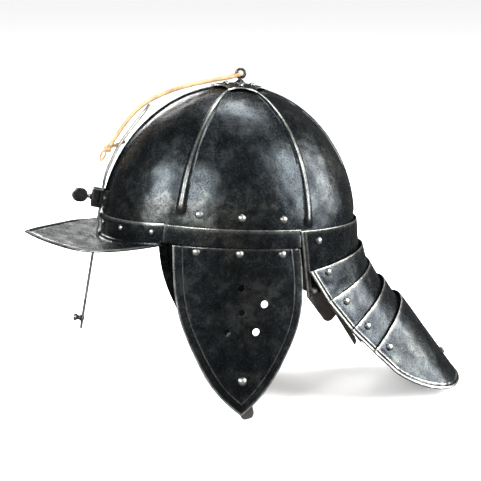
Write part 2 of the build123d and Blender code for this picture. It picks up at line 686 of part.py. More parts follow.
for s in (1, -1):
    point, normal = lame_place(1, s * LOW_RIVET[0], LOW_RIVET[1])
    lame_rivets[1] += rivet(point, normal, LAME_WALL + FIT_GAP + STRAP_WALL + 0.3)
for number in LAMES:
    parts[f"neck_leather_{number}"] = neck_strap(number)
for number in FLAPS:
    parts[f"neck_leather_{number}"] += neck_flap(number)
for s in (1, -1):
    hole = drill(*lame_place(1, s * LOW_RIVET[0], LOW_RIVET[1]), SHANK_R)
    lames[1] -= hole
    parts["neck_leather_1"] -= hole
for number, group in lame_rivets.items():
    own = lames[number]
    group -= own
    if number == 1:
        group -= skull
    parts[f"lame_{number}_rivets"] = group
for number, plate in lames.items():
    parts[f"lame_{number}"] = plate

# ---- leather thong from the crown's eye to the nasal bar ----------------------------------------
# A doubled thong: down one side, through the eye and back, tied off in a knot at the bar's hole.
THONG_HALF = (
    (2.4, -106.0, 78.0),
    (2.6, -95.0, 95.5),
    (2.8, -77.0, 115.5),
    (3.0, -47.0, 129.0),
    (3.3, -14.0, 135.8),
    (3.8, 4.0, 138.4),
)
EYE_CENTRE_Z = SKULL_HALF[2] + RIB_HEIGHT + FIT_GAP + CROWN_WALL + 8.8
EYE_POINT = dome * Pos(0, 0, EYE_CENTRE_Z)
KNOT = (0.0, -108.3, 75.6)
KNOT_R = 4.6
THONG_EYE_X = 4.0               # the thong turns through the eye this far each side of the midline


def thong_points():
    """Route of the doubled thong: down one side, through the eye and back."""
    eye = EYE_POINT.position
    half = list(THONG_HALF)
    near = (THONG_EYE_X, eye.Y - 0.2, eye.Z - 0.3)
    far = (-THONG_EYE_X, eye.Y - 0.2, eye.Z - 0.3)
    return half + [near, far] + [(-x, y, z) for x, y, z in reversed(half)]


def corner_radii(points):
    """0.45 of the shorter run over the tangent of half the turn, for each inner corner."""
    radii = []
    for before, here, after in zip(points, points[1:], points[2:]):
        into = Vector(*here) - Vector(*before)
        out = Vector(*after) - Vector(*here)
        turn = into.get_angle(out)
        radius = 0.45 * min(into.length, out.length) / tan(radians(turn / 2))
        radii.append(radius)
        print(f"thong corner at {here}: turn {turn:.1f}, radius {radius:.1f}")
    return radii


route = thong_points()
thong_path = FilletPolyline(*route, radius=corner_radii(route))
thong_start = Plane(origin=thong_path @ 0, z_dir=thong_path % 0)
thong = sweep(thong_start * Circle(THONG_D / 2), thong_path)
print(f"thong length {thong_path.length:.1f}, volume {thong.volume:.1f}, "
      f"section x length {pi * (THONG_D / 2) ** 2 * thong_path.length:.1f}")
parts["thong"] = thong


def make_knot():
    """Knot in front of the bar, the strand through the bar's hole and a doubled loose end."""
    ball = Pos(*KNOT) * Sphere(KNOT_R)
    hole = Vector(0, *BAR_HOLE)
    centre = Vector(*KNOT)
    along = (hole - centre).normalized()
    strand = Plane(origin=centre, z_dir=along) * Pos(0, 0, 7.6) * Cylinder(THONG_D / 2 - 0.1, 15.2)
    stop = Plane(origin=centre, z_dir=along) * Pos(0, 0, 15.4) * Sphere(2.0)
    tail = Pos(0, -113.5, 68.5) * Rot(12, 0, 0) * Box(4.5, 6.0, 12.0)
    tail = fillet(tail.edges(), 1.8)
    return ball + strand + stop + tail


bar_hole_axis = Vector(0, *BAR_HOLE) - Vector(*KNOT)
parts["nasal_bar"] -= Plane(origin=(0, *BAR_HOLE), z_dir=bar_hole_axis.normalized()) * Cylinder(2.0, 14)
parts["thong_knot"] = make_knot()

# ---- files ---------------------------------------------------------------------------------------
parts["skull"] = skull
for name, solid in sorted(parts.items()):
    solid.label = name
    export_step(solid, f"parts/{name}.step")
for number, place in pivots.items():
    print(f"pivot {number}: {place}")
hinge_line, _ = placed(rim, (CHEEK_HALF_X, 0, CHEEK_TOP), (0, 0, 1))
print(f"cheek hinge {hinge_line}, screw {bar_frame(SCREW_Z).origin}, slide {bar_frame(SCREW_Z).z_dir}")
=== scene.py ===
"""Lobster-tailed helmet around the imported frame. Shapes are in millimetres and are placed in metres."""
import math
import random

import bmesh
import bpy
import numpy as np
from mathutils import Matrix, Vector, noise


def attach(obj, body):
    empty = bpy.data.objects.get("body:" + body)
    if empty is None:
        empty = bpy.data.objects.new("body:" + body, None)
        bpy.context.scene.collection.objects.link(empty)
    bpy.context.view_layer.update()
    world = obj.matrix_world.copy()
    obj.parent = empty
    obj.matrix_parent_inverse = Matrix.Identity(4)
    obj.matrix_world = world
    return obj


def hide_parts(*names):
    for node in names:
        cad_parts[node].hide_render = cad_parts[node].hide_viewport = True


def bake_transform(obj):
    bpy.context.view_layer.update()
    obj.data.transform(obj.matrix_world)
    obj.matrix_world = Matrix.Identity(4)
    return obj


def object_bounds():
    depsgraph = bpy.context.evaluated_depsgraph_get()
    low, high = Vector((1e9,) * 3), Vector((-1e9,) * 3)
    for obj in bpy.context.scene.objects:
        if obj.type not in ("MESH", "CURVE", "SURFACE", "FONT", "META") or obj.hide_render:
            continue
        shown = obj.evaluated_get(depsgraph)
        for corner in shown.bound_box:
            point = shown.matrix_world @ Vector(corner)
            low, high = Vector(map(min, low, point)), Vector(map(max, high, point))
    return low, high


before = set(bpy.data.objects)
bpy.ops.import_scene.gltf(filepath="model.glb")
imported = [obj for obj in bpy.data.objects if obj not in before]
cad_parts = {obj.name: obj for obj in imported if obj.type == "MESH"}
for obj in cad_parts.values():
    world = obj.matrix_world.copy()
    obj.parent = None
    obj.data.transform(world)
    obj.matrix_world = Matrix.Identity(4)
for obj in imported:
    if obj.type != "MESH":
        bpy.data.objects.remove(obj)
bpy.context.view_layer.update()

random.seed(11)
MM = 0.001

# ---- dimensions shared with the CAD part ---------------------------------------------------------------
WALL = 1.5
GAP = 0.15
SKULL_HALF = (97.0, 116.0, 130.0)
SKULL_CENTRE_Y = 1.0
DOME_TILT = 4.7
RIM_TILT = 3.0
RIB_ANGLES = (0.0, 62.0, 121.5, 180.0, -121.5, -62.0)
RIB_HEIGHT = 2.0
RIB_WIDTH = (3.0, 9.5)
RIB_FOOT = (24.0, 19.0)
BAND_HEIGHT = 15.5
BAND_WALL = 1.2
BAND_Y = (-65.0, 54.2)
PEAK_OUTLINE = ((0, -185), (22, -175), (42, -163), (62, -149), (77, -134), (82, -116), (81.5, -95),
                (79, -67))
PEAK_Z = -0.5
PEAK_DIP = 4.5
FLANGE_TOP = (11.5, 16.3)
FLANGE_ANGLE = 55.2
BAR_WIDTH = 11.0
BAR_THICK = 2.0
BAR_PATH = ((-135.6, -91.2), (-110.9, 52.0), (-98.0, 79.0), (-70.0, 114.5))
BAR_PATH_RADII = (60.0, 90.0)
BAR_HOLE = (-97.8, 79.2)
KNOB_Z = -81.5
SCREW_Z = 30.0
BRACKET_HEIGHT = 16.5
BRACKET_WALL = 1.4
CHEEK_HALF_X = 96.0
CHEEK_HALF_Y = 114.0
CHEEK_TILT = 3.6
CHEEK_TOP = -1.2
CHEEK_FRONT = ((-57.3, 14.0), (-57.6, -20.0), (-53.5, -61.0), (-39.5, -98.0), (-20.5, -129.5), (0.5, -149.5))
CHEEK_BACK = ((53.5, 14.0), (57.8, -28.0), (55.0, -66.0), (40.5, -101.0), (20.0, -131.0), (0.5, -149.5))
CHEEK_BORDER = 8.0
PANEL_RAISE = 0.9
EAR_CENTRE = (1.3, -57.5)
EAR_RING_R = 21.5
EAR_HOLE_R = 3.2
TIP_RIVET = (1.3, -117.9)
HINGE_YS = (-37.5, 0.0, 38.2)
HINGE_STANDOFF = 25.6
CHEEK_RIVET_DROP = 4.4
LAMES = {
    1: (88.9, (54.9, 11.6), (120.2, 9.5), 79.0, (62.8, -51.0), (123.3, -31.0)),
    2: (83.6, (63.6, -26.1), (126.2, -14.5), 77.0, (90.0, -68.5), (133.8, -44.0)),
    3: (81.4, (81.0, -54.3), (133.2, -31.7), 74.0, (112.5, -94.0), (149.5, -61.0)),
    4: (78.4, (103.0, -82.2), (147.2, -48.5), 71.0, (134.5, -113.6), (165.0, -76.0)),
}
TAIL_TOP = (75.8, (124.0, -103.1), (163.4, -64.8))
TAIL_LENGTH = 95.0
TAIL_SIDE_LENGTH = 27.0
LAME_WALL = 1.2
LAME_SPREAD = 62.0
PIVOT_TURN = 53.0
LOW_RIVET = (58.0, 57.0)
FLAPS = {1: ((66.0, -41.5), (86.0, -69.0), 15.0), 2: ((87.5, -68.0), (104.0, -92.5), 12.0)}
PIVOT_DROP = {1: 10.3, 2: 5.5, 3: 8.7, 4: 8.0, 5: 9.0}
SIDES = {"left": 1, "right": -1}


# ---- small mathematics ---------------------------------------------------------------------------------
def turn_x(points, degrees):
    """Points turned about the X axis by the right-hand rule."""
    c, s = math.cos(math.radians(degrees)), math.sin(math.radians(degrees))
    x, y, z = np.moveaxis(np.asarray(points, float), -1, 0)
    return np.stack([x, y * c - z * s, y * s + z * c], -1)


def unit(vectors):
    return vectors / np.maximum(np.linalg.norm(vectors, axis=-1, keepdims=True), 1e-12)


def step_up(low, high, value):
    """Smooth rise from 0 at low to 1 at high."""
    t = np.clip((value - low) / (high - low), 0, 1)
    return t * t * (3 - 2 * t)


def run_along(points):
    """Distance of each point of a polyline from its start."""
    return np.concatenate([[0], np.cumsum(np.linalg.norm(np.diff(points, axis=0), axis=1))])


def resampled(line, where):
    """Points of a polyline at distances from its start."""
    run = run_along(line)
    return np.stack([np.interp(where, run, line[:, k]) for k in range(line.shape[1])], -1)


def natural_curve(points, count):
    """Even points along the natural cubic through some points."""
    p = np.asarray(points, float)
    gaps = np.linalg.norm(np.diff(p, axis=0), axis=1)
    knots = np.concatenate([[0], np.cumsum(gaps)])
    n = len(p)
    system, right = np.eye(n), np.zeros_like(p)
    for k in range(1, n - 1):
        system[k, k - 1:k + 2] = gaps[k - 1], 2 * (gaps[k - 1] + gaps[k]), gaps[k]
        right[k] = 6 * ((p[k + 1] - p[k]) / gaps[k] - (p[k] - p[k - 1]) / gaps[k - 1])
    bend = np.linalg.solve(system, right)
    where = np.linspace(0, knots[-1], 400)
    span = np.clip(np.searchsorted(knots, where, side="right") - 1, 0, n - 2)
    h = gaps[span][:, None]
    a = (knots[span + 1] - where)[:, None]
    b = (where - knots[span])[:, None]
    fine = (bend[span] * a**3 + bend[span + 1] * b**3) / (6 * h)
    fine += (p[span] / h - bend[span] * h / 6) * a + (p[span + 1] / h - bend[span + 1] * h / 6) * b
    return resampled(fine, np.linspace(0, run_along(fine)[-1], count))


def edge_spacing(length, step, near=(0, 0.2, 0.5, 0.9, 1.6)):
    """Distances from 0 to length, close together at both ends."""
    near = np.array([d for d in near if d < length / 3])
    count = max(2, int((length - 2 * near[-1]) / step))
    middle = np.linspace(near[-1], length - near[-1], count + 1)[1:-1]
    return np.concatenate([near, middle, (length - near)[::-1]])


def rounded(distance, radius):
    """How far a plate's face falls at its rounded edge."""
    gone = np.clip(radius - distance, 0, radius)
    return radius - np.sqrt(radius**2 - gone**2)


def dents(points, size, depth):
    """Hand-hammered unevenness: smooth noise of a feature size, in millimetres."""
    flat = points.reshape(-1, 3) / size
    values = [noise.noise(Vector(p)) for p in flat]
    return np.array(values).reshape(points.shape[:-1]) * depth


# ---- surfaces of the helmet ----------------------------------------------------------------------------
def dome_local(angle, rise, grow=0.0):
    """Point and outward normal on the skull's ellipsoid, in its own tilted frame; radians."""
    a, b, c = (half + grow for half in SKULL_HALF)
    x = a * np.cos(rise) * np.sin(angle)
    y = -b * np.cos(rise) * np.cos(angle)
    z = c * np.sin(rise)
    return np.stack([x, y, z], -1), unit(np.stack([x / a**2, y / b**2, z / c**2], -1))


def from_dome(points):
    return turn_x(points + np.array([0, SKULL_CENTRE_Y, 0]), -DOME_TILT)


RIM_NORMAL = np.array([0, math.sin(math.radians(RIM_TILT)), math.cos(math.radians(RIM_TILT))])
UP = np.array([0.0, 0.0, 1.0])


def rise_at(angle, height, grow=0.0, normal=RIM_NORMAL):
    """Rise at which the skull's surface stands a height over the rim plane, or over the level."""
    angle, height = np.broadcast_arrays(np.asarray(angle, float), np.asarray(height, float))
    low, high = np.full(angle.shape, -0.6), np.full(angle.shape, 1.5)
    for _ in range(40):
        middle = (low + high) / 2
        below = from_dome(dome_local(angle, middle, grow)[0]) @ normal < height
        low, high = np.where(below, middle, low), np.where(below, high, middle)
    return (low + high) / 2


def on_skull(angle, rise, grow=0.0):
    """Point and normal on the skull in the row's frame."""
    point, normal = dome_local(angle, rise, grow)
    return from_dome(point), turn_x(normal, -DOME_TILT)


def skull_spot(degrees, height, grow=0.0):
    """Point and normal on the skull by degrees from the front and height over the dome's equator."""
    rise = math.asin(height / (SKULL_HALF[2] + grow))
    return on_skull(np.float64(math.radians(degrees)), np.float64(rise), grow)


def on_cheek(y, z, grow=0.0, side=1):
    """Point and outward normal of a cheek's outside at a fore-aft place and a height."""
    rim = math.radians(RIM_TILT)
    tilt = math.radians(CHEEK_TILT)
    along = y * math.cos(rim) - z * math.sin(rim)
    down = y * math.sin(rim) + z * math.cos(rim) - CHEEK_TOP
    a, b = CHEEK_HALF_X + grow, CHEEK_HALF_Y + grow
    across = a * np.sqrt(1 - (along / b) ** 2)
    drop = ((across - CHEEK_HALF_X) * math.sin(tilt) - down) / math.cos(tilt)
    x = CHEEK_HALF_X + (across - CHEEK_HALF_X) * math.cos(tilt) + drop * math.sin(tilt)
    flat = unit(np.stack([across / a**2, along / b**2, 0 * along], -1))
    leaned = np.stack([flat[..., 0] * math.cos(tilt), flat[..., 1], flat[..., 0] * math.sin(tilt)], -1)
    normal = turn_x(leaned, -RIM_TILT) * np.array([side, 1, 1])
    return np.stack([side * x, y + 0 * x, z + 0 * x], -1), normal


def cheek_top(y):
    """Height of a cheek's upper edge at a fore-aft place."""
    across = CHEEK_HALF_X * np.sqrt(1 - (y / CHEEK_HALF_Y) ** 2)
    sag = (across - CHEEK_HALF_X) * math.sin(math.radians(CHEEK_TILT))
    rim = math.radians(RIM_TILT)
    return (CHEEK_TOP + sag - y * math.sin(rim)) / math.cos(rim)


def round_the_back(turn, half_width, side, back):
    full = math.cos(math.radians(LAME_SPREAD))
    t = (np.cos(np.radians(turn)) - full) / (1 - full)
    x = half_width * np.sin(np.radians(turn)) / math.sin(math.radians(LAME_SPREAD))
    return np.stack([x, side[0] + (back[0] - side[0]) * t, side[1] + (back[1] - side[1]) * t], -1)


def lame_edges(number, turn):
    """Top and lower edge of a lame's outside at turns from the back, in degrees."""
    turn = np.asarray(turn, float)
    if number in LAMES:
        return round_the_back(turn, *LAMES[number][:3]), round_the_back(turn, *LAMES[number][3:])
    top = round_the_back(turn, *TAIL_TOP)
    share = np.maximum(0.0, 1 - np.abs(turn / LAME_SPREAD) ** 3)
    length = TAIL_SIDE_LENGTH + (TAIL_LENGTH - TAIL_SIDE_LENGTH) * share**0.6
    full = math.cos(math.radians(LAME_SPREAD))
    t = ((np.cos(np.radians(turn)) - full) / (1 - full))[..., None]
    side_run = np.stack([-0.10 * turn / LAME_SPREAD, 0.715 + 0 * turn, -0.69 + 0 * turn], -1)
    run = unit(side_run * (1 - t) + np.array([0, 0.585, -0.811]) * t)
    return top, top + run * length[..., None]


def lame_normal(number, turn):
    turn = np.asarray(turn, float)
    before, after = lame_edges(number, turn - 0.5)[0], lame_edges(number, turn + 0.5)[0]
    top, low = lame_edges(number, turn)
    return unit(np.cross(after - before, low - top))


def lame_spot(number, turn, drop):
    top, low = lame_edges(number, turn)
    return top + unit(low - top) * drop, lame_normal(number, turn)


# ---- mesh building -------------------------------------------------------------------------------------
def plate(outer, inner, loop=False):
    """Closed plate between two grids of points; loop joins the last column to the first."""
    rows, cols = outer.shape[:2]
    half = rows * cols
    index = np.arange(half).reshape(rows, cols)
    if loop:
        index = np.concatenate([index, index[:, :1]], 1)
    a, b, c, d = index[:-1, :-1], index[:-1, 1:], index[1:, 1:], index[1:, :-1]
    face = np.stack([a, b, c, d], -1).reshape(-1, 4)
    back = face[:, ::-1] + half
    strips = [index[0], index[-1][::-1]]
    if not loop:
        strips += [index[::-1, 0], index[:, -1]]
    walls = [np.stack([s[1:], s[:-1], s[:-1] + half, s[1:] + half], -1) for s in strips]
    verts = np.concatenate([outer.reshape(-1, 3), inner.reshape(-1, 3)])
    return verts, np.concatenate([face, back] + walls).tolist()


def merged(shapes):
    """Several (vertices, faces) as one."""
    verts, faces, start = [], [], 0
    for points, polygons in shapes:
        verts.append(points)
        faces += [[i + start for i in polygon] for polygon in polygons]
        start += len(points)
    return np.concatenate(verts), faces


def axes_for(normal):
    """Two directions square to a normal and to each other."""
    n = Vector(normal).normalized()
    u = n.orthogonal().normalized()
    return np.array(u), np.array(n.cross(u)), np.array(n)


def ring_faces(count, steps, closed=False):
    """Faces that join rings of points in turn; an open run of rings gets a cap at each end."""
    faces = []
    for k in range(count if closed else count - 1):
        here, there = k * steps, (k + 1) % count * steps
        for j in range(steps):
            i = (j + 1) % steps
            faces.append([here + j, here + i, there + i, there + j])
    if not closed:
        faces.append(list(range(steps))[::-1])
        faces.append([(count - 1) * steps + j for j in range(steps)])
    return faces


def lathe(profile, place, normal, steps=28):
    """Closed turned shape from (radius, height) points about a normal."""
    u, v, n = axes_for(normal)
    turns = np.linspace(0, 2 * math.pi, steps, endpoint=False)
    circle = np.cos(turns)[:, None] * u + np.sin(turns)[:, None] * v
    rings = [place + n * h + r * circle for r, h in profile]
    return np.concatenate(rings), ring_faces(len(rings), steps)


def tube(path, radius, sides=14, closed=False, flatten=1.0, twist=0.0):
    """Tube along points; radius may be a number or one for each point."""
    path = np.asarray(path, float)
    radius = np.broadcast_to(radius, len(path))
    ahead = np.roll(path, -1, 0) - path
    behind = path - np.roll(path, 1, 0)
    run = unit(ahead + behind)
    if not closed:
        run[0], run[-1] = unit(ahead[0]), unit(behind[-1])
    side = np.array(Vector(run[0]).orthogonal().normalized())
    turns = np.linspace(0, 2 * math.pi, sides, endpoint=False)
    rings = []
    for k, direction in enumerate(run):
        side = unit(side - direction * (side @ direction))
        other = np.cross(direction, side)
        spin = turns + twist * k
        ring = np.cos(spin)[:, None] * side + flatten * np.sin(spin)[:, None] * other
        rings.append(path[k] + radius[k] * ring)
    return np.concatenate(rings), ring_faces(len(rings), sides, closed)


def add_object(name, data):
    obj = bpy.data.objects.new(name, data)
    bpy.context.scene.collection.objects.link(obj)
    return obj


def piece(name, shape, body, slot, nodes, wear_and_sheen=None, sharp=40.0):
    """Object of a shape in millimetres that rides on a body and stands for CAD nodes."""
    verts, faces = shape
    mesh = bpy.data.meshes.new(name)
    mesh.from_pydata((verts * MM).tolist(), [], faces)
    # per-point colour mask, 0 to 1: lighter colour along rubbed edges, crests and beads of the steel, partly
    # a painted highlight along them; on leather the edges are scuffed lighter
    layer = mesh.attributes.new("wear_and_sheen", "FLOAT", "POINT")
    if wear_and_sheen is not None:
        layer.data.foreach_set("value", np.asarray(wear_and_sheen, np.float32).ravel())
    cleaned = bmesh.new()
    cleaned.from_mesh(mesh)
    bmesh.ops.remove_doubles(cleaned, verts=cleaned.verts, dist=1e-6)
    bmesh.ops.recalc_face_normals(cleaned, faces=cleaned.faces)
    cleaned.to_mesh(mesh)
    cleaned.free()
    mesh.shade_smooth()
    mesh.set_sharp_from_angle(angle=math.radians(sharp))
    obj = add_object(name, mesh)
    mesh.materials.append(MATERIALS[slot])
    if body:
        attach(obj, body)
    if nodes:
        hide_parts(*nodes)
    return obj


def cut(obj, shape):
    """Takes a closed shape in millimetres out of an object."""
    verts, faces = shape
    mesh = bpy.data.meshes.new("cutter")
    mesh.from_pydata((verts * MM).tolist(), [], faces)
    cutter = add_object("cutter", mesh)
    modifier = obj.modifiers.new("cut", "BOOLEAN")
    modifier.object = cutter
    modifier.operation = "DIFFERENCE"
    modifier.solver = "EXACT"
    solved = bpy.data.meshes.new_from_object(obj.evaluated_get(bpy.context.evaluated_depsgraph_get()))
    obj.modifiers.clear()
    old, obj.data = obj.data, solved
    bpy.data.meshes.remove(old)
    bpy.data.objects.remove(cutter)
    bpy.data.meshes.remove(mesh)


# ---- materials -----------------------------------------------------------------------------------------
class Shader:
    """A node material with one Principled shader; build adds and links nodes."""

    def __init__(self, name, metallic, specular=0.5):
        self.material = bpy.data.materials.new(name)
        self.material.use_nodes = True
        self.tree = self.material.node_tree
        self.out = self.tree.nodes["Principled BSDF"]
        self.out.inputs["Metallic"].default_value = metallic
        self.out.inputs["Specular IOR Level"].default_value = specular
        self.place = self.node("ShaderNodeTexCoord").outputs["Object"]

    def node(self, kind, settings=None, **inputs):
        made = self.tree.nodes.new(kind)
        for key, value in (settings or {}).items():
            setattr(made, key, value)
        for key, value in inputs.items():
            socket = made.inputs[int(key[1:])] if key[1:].isdigit() else made.inputs[key.replace("_", " ")]
            if isinstance(value, bpy.types.NodeSocket):
                self.tree.links.new(value, socket)
            else:
                socket.default_value = value
        return made

    def noise(self, scale, detail=4.0, rough=0.55, stretch=None, distortion=0.0):
        place = self.place
        if stretch:
            place = self.node("ShaderNodeMapping", Vector=place, Scale=stretch).outputs[0]
        return self.node("ShaderNodeTexNoise", Vector=place, Scale=scale, Detail=detail, Roughness=rough,
                         Distortion=distortion).outputs["Fac"]

    def cells(self, scale, smooth=0.6):
        return self.node("ShaderNodeTexVoronoi", {"feature": "SMOOTH_F1"}, Vector=self.place, Scale=scale,
                         Smoothness=smooth).outputs["Distance"]

    def ramp(self, value, *stops):
        """Colour ramp from (position, colour) stops."""
        made = self.node("ShaderNodeValToRGB", Fac=value)
        ramp = made.color_ramp
        while len(ramp.elements) < len(stops):
            ramp.elements.new(0.5)
        for element, (position, colour) in zip(ramp.elements, stops):
            element.position = position
            element.color = (*colour, 1) if isinstance(colour, tuple) else (colour, colour, colour, 1)
        return made.outputs[0]

    def mix(self, share, a, b, blend="MIX"):
        made = self.node("ShaderNodeMix", {"data_type": "RGBA", "blend_type": blend})
        for socket, value in ((made.inputs[0], share), (made.inputs[6], a), (made.inputs[7], b)):
            if isinstance(value, bpy.types.NodeSocket):
                self.tree.links.new(value, socket)
            elif isinstance(value, tuple):
                socket.default_value = (*value, 1)
            else:
                socket.default_value = value
        return made.outputs[2]

    def maths(self, operation, a, b):
        return self.node("ShaderNodeMath", {"operation": operation}, _0=a, _1=b).outputs[0]

    def read_wear_and_sheen(self):
        return self.node("ShaderNodeAttribute", {"attribute_name": "wear_and_sheen"}).outputs["Fac"]

    def bump(self, height, distance, strength, below=None):
        made = self.node("ShaderNodeBump", Height=height, Distance=distance, Strength=strength)
        if below:
            self.tree.links.new(below, made.inputs["Normal"])
        return made.outputs[0]

    def finish(self, colour, roughness, normal):
        for name, socket in (("Base Color", colour), ("Roughness", roughness), ("Normal", normal)):
            self.tree.links.new(socket, self.out.inputs[name])
        return self.material


def black_steel(name):
    """Blackened iron with hammered unevenness, rubbed patches, brown stains and fine pits and scratches."""
    s = Shader(name, metallic=0.90)
    wide = s.noise(16, 5, 0.62, distortion=0.5)
    cloudy = s.noise(75, 8, 0.72, distortion=0.3)
    speckle = s.noise(520, 3, 0.7)
    scratch = s.noise(110, 3, 0.65, stretch=(1.0, 1.0, 14.0))
    coat = s.ramp(cloudy, (0.34, (0.008, 0.010, 0.012)),
                  (0.52, (0.015, 0.018, 0.020)),
                  (0.70, (0.030, 0.034, 0.034)))
    stain = s.mix(s.ramp(wide, (0.56, 0.0), (0.74, 0.35)), coat, (0.050, 0.042, 0.031))
    rubbed = s.mix(s.ramp(s.maths("MULTIPLY", cloudy, wide), (0.27, 0.0), (0.42, 0.4)), stain,
                   (0.085, 0.091, 0.084))
    spots = s.mix(s.ramp(speckle, (0.32, 0.6), (0.42, 0.0)), rubbed, (0.008, 0.008, 0.007))
    # lighten the steel where the per-point mask is high: rubbed edges, crests and beads, with a painted
    # highlight along them
    rub_and_sheen = s.maths("MULTIPLY", s.read_wear_and_sheen(), s.ramp(s.noise(130, 4, 0.7), (0.30, 0.35), (0.62, 1.0)))
    colour = s.mix(rub_and_sheen, spots, (0.42, 0.42, 0.39))
    dull = s.ramp(cloudy, (0.30, 0.22), (0.55, 0.27), (0.80, 0.35))
    dull = s.mix(s.ramp(speckle, (0.34, 0.5), (0.5, 0.0)), dull, (0.62, 0.62, 0.62))
    dull = s.mix(rub_and_sheen, dull, (0.30, 0.30, 0.30))
    hammered = s.bump(s.cells(62), 0.0012, 0.40)
    hammered = s.bump(s.noise(30, 2, 0.5), 0.0034, 0.45, hammered)
    pitted = s.bump(speckle, 0.00016, 0.5, hammered)
    return s.finish(colour, dull, s.bump(scratch, 0.00012, 0.3, pitted))


def rivet_steel(name):
    """Bright rivet heads, rubbed and with a painted highlight on top, and a painted shade ring where they
    meet the plate.
    """
    s = Shader(name, metallic=0.9)
    grain = s.noise(900, 4, 0.65)
    patch = s.noise(260, 4, 0.6)
    base = s.ramp(patch, (0.30, (0.10, 0.097, 0.090)), (0.60, (0.30, 0.30, 0.29)))
    # low on the head the colour falls to near black, a painted shade ring; the top is bright, rubbed steel
    # with a painted highlight
    colour = s.mix(s.read_wear_and_sheen(), s.mix(0.85, base, (0.018, 0.018, 0.017)), s.mix(0.5, base, (0.40, 0.40, 0.38)))
    dull = s.ramp(grain, (0.3, 0.26), (0.7, 0.44))
    return s.finish(colour, dull, s.bump(grain, 0.00012, 0.5))


def leather(name, dark, light, dull=(0.55, 0.8)):
    """Old leather: creased grain, colour scuffed lighter along its edges."""
    s = Shader(name, metallic=0.0, specular=0.35)
    crease = s.cells(520, 0.3)
    fibre = s.noise(1400, 4, 0.7)
    patch = s.noise(60, 5, 0.65)
    base = s.ramp(patch, (0.32, dark), (0.68, light))
    grown = s.mix(s.ramp(crease, (0.10, 0.55), (0.45, 0.0)), base, tuple(0.45 * c for c in dark))
    colour = s.mix(s.maths("MULTIPLY", s.read_wear_and_sheen(), 0.7), grown, tuple(min(1.0, 1.5 * c) for c in light))
    rough = s.ramp(patch, (0.3, dull[0]), (0.7, dull[1]))
    grain = s.bump(crease, 0.0006, 0.55)
    return s.finish(colour, rough, s.bump(fibre, 0.00015, 0.5, grain))


def rawhide(name):
    """Tan thong: stringy fibres along the lace, darker in its creases."""
    s = Shader(name, metallic=0.0, specular=0.4)
    strand = s.noise(1500, 4, 0.7, stretch=(1.0, 0.12, 0.3))
    patch = s.noise(130, 5, 0.7)
    base = s.ramp(patch, (0.28, (0.14, 0.075, 0.032)), (0.50, (0.29, 0.19, 0.095)),
                  (0.72, (0.43, 0.31, 0.18)))
    colour = s.mix(s.ramp(strand, (0.32, 0.7), (0.52, 0.0)), base, (0.20, 0.10, 0.04))
    rough = s.ramp(patch, (0.3, 0.45), (0.7, 0.68))
    return s.finish(colour, rough, s.bump(strand, 0.0004, 0.7))


MATERIALS = {
    "blackened_steel": black_steel("blackened_steel"),
    "bright_rivet": rivet_steel("bright_rivet"),
    "dark_leather": leather("dark_leather", (0.009, 0.008, 0.007), (0.026, 0.020, 0.015)),
    "liner_leather": leather("liner_leather", (0.13, 0.070, 0.035), (0.30, 0.18, 0.095)),
    "tan_leather": rawhide("tan_leather"),
}


# ---- skull ---------------------------------------------------------------------------------------------
def rib_relief(local):
    """Height of the ribs and their flanking grooves over the skull, and how bright each point is painted:
    rubbed crests with a painted highlight along them, stronger towards the crown.
    """
    narrow, wide = RIB_WIDTH
    raised, rubbed = np.zeros(local.shape[:-1]), np.zeros(local.shape[:-1])
    for degrees in RIB_ANGLES:
        far = 1.05 * np.array([SKULL_HALF[0] * math.sin(math.radians(degrees)),
                               -SKULL_HALF[1] * math.cos(math.radians(degrees))])
        run = far / np.linalg.norm(far)
        u = local[..., 0] * run[0] + local[..., 1] * run[1]
        v = np.abs(local[..., 0] * run[1] - local[..., 1] * run[0])
        half = (narrow + (wide - narrow) * np.clip(u / np.linalg.norm(far), 0, 1)) / 2
        foot = RIB_FOOT[1] if math.cos(math.radians(degrees)) < -0.1 else RIB_FOOT[0]
        present = step_up(-1, 2, u) * step_up(foot - 1, foot + 6, local[..., 2])
        crest = np.clip(1 - (v / half) ** 2, 0, 1) ** 0.75
        groove = np.exp(-(((v - half - 1.1) / 0.9) ** 2))
        raised = np.maximum(raised, RIB_HEIGHT * crest * present) - 0.45 * groove * present * (raised < 0.3)
        # crests are painted brighter towards the crown: a painted highlight where the top catches the light
        highlight_towards_crown = 0.25 + 0.75 * step_up(60, 125, local[..., 2])
        rubbed = np.maximum(rubbed, np.exp(-((v / (0.30 * half)) ** 2)) * present * highlight_towards_crown * 0.75)
    return raised, rubbed


def make_skull():
    angles = np.linspace(0, 2 * math.pi, 721)[:-1]
    base = rise_at(angles, 0.0)
    share = np.concatenate([[0, 0.002, 0.005, 0.010], np.linspace(0.018, 1, 120) ** 0.96])
    rise = base[None, :] + (math.pi / 2 - base[None, :]) * share[:, None]
    angle = np.broadcast_to(angles, rise.shape)
    local, normal = dome_local(angle, rise)
    raised, rubbed = rib_relief(local)
    height = raised + dents(local, 27.0, 0.32) + dents(local + 50, 9.0, 0.10)
    from_edge = share[:, None] * 130 + 0 * angle
    fall = rounded(from_edge, 0.6)
    outer = from_dome(local + normal * (np.minimum(height, RIB_HEIGHT) - fall)[..., None])
    inner_local, _ = dome_local(angle, rise, -WALL)
    inner = from_dome(inner_local + normal * fall[..., None])
    # lighter along the rim's edge and the rib crests: rubbed, with a painted highlight along them
    edge = np.exp(-from_edge / 0.8)
    wear_and_sheen = np.concatenate([np.maximum(rubbed, 0.5 * edge).ravel(), 0 * edge.ravel()])
    piece("helmet_skull", plate(outer, inner, loop=True), "skull", "blackened_steel", ["skull"], wear_and_sheen)


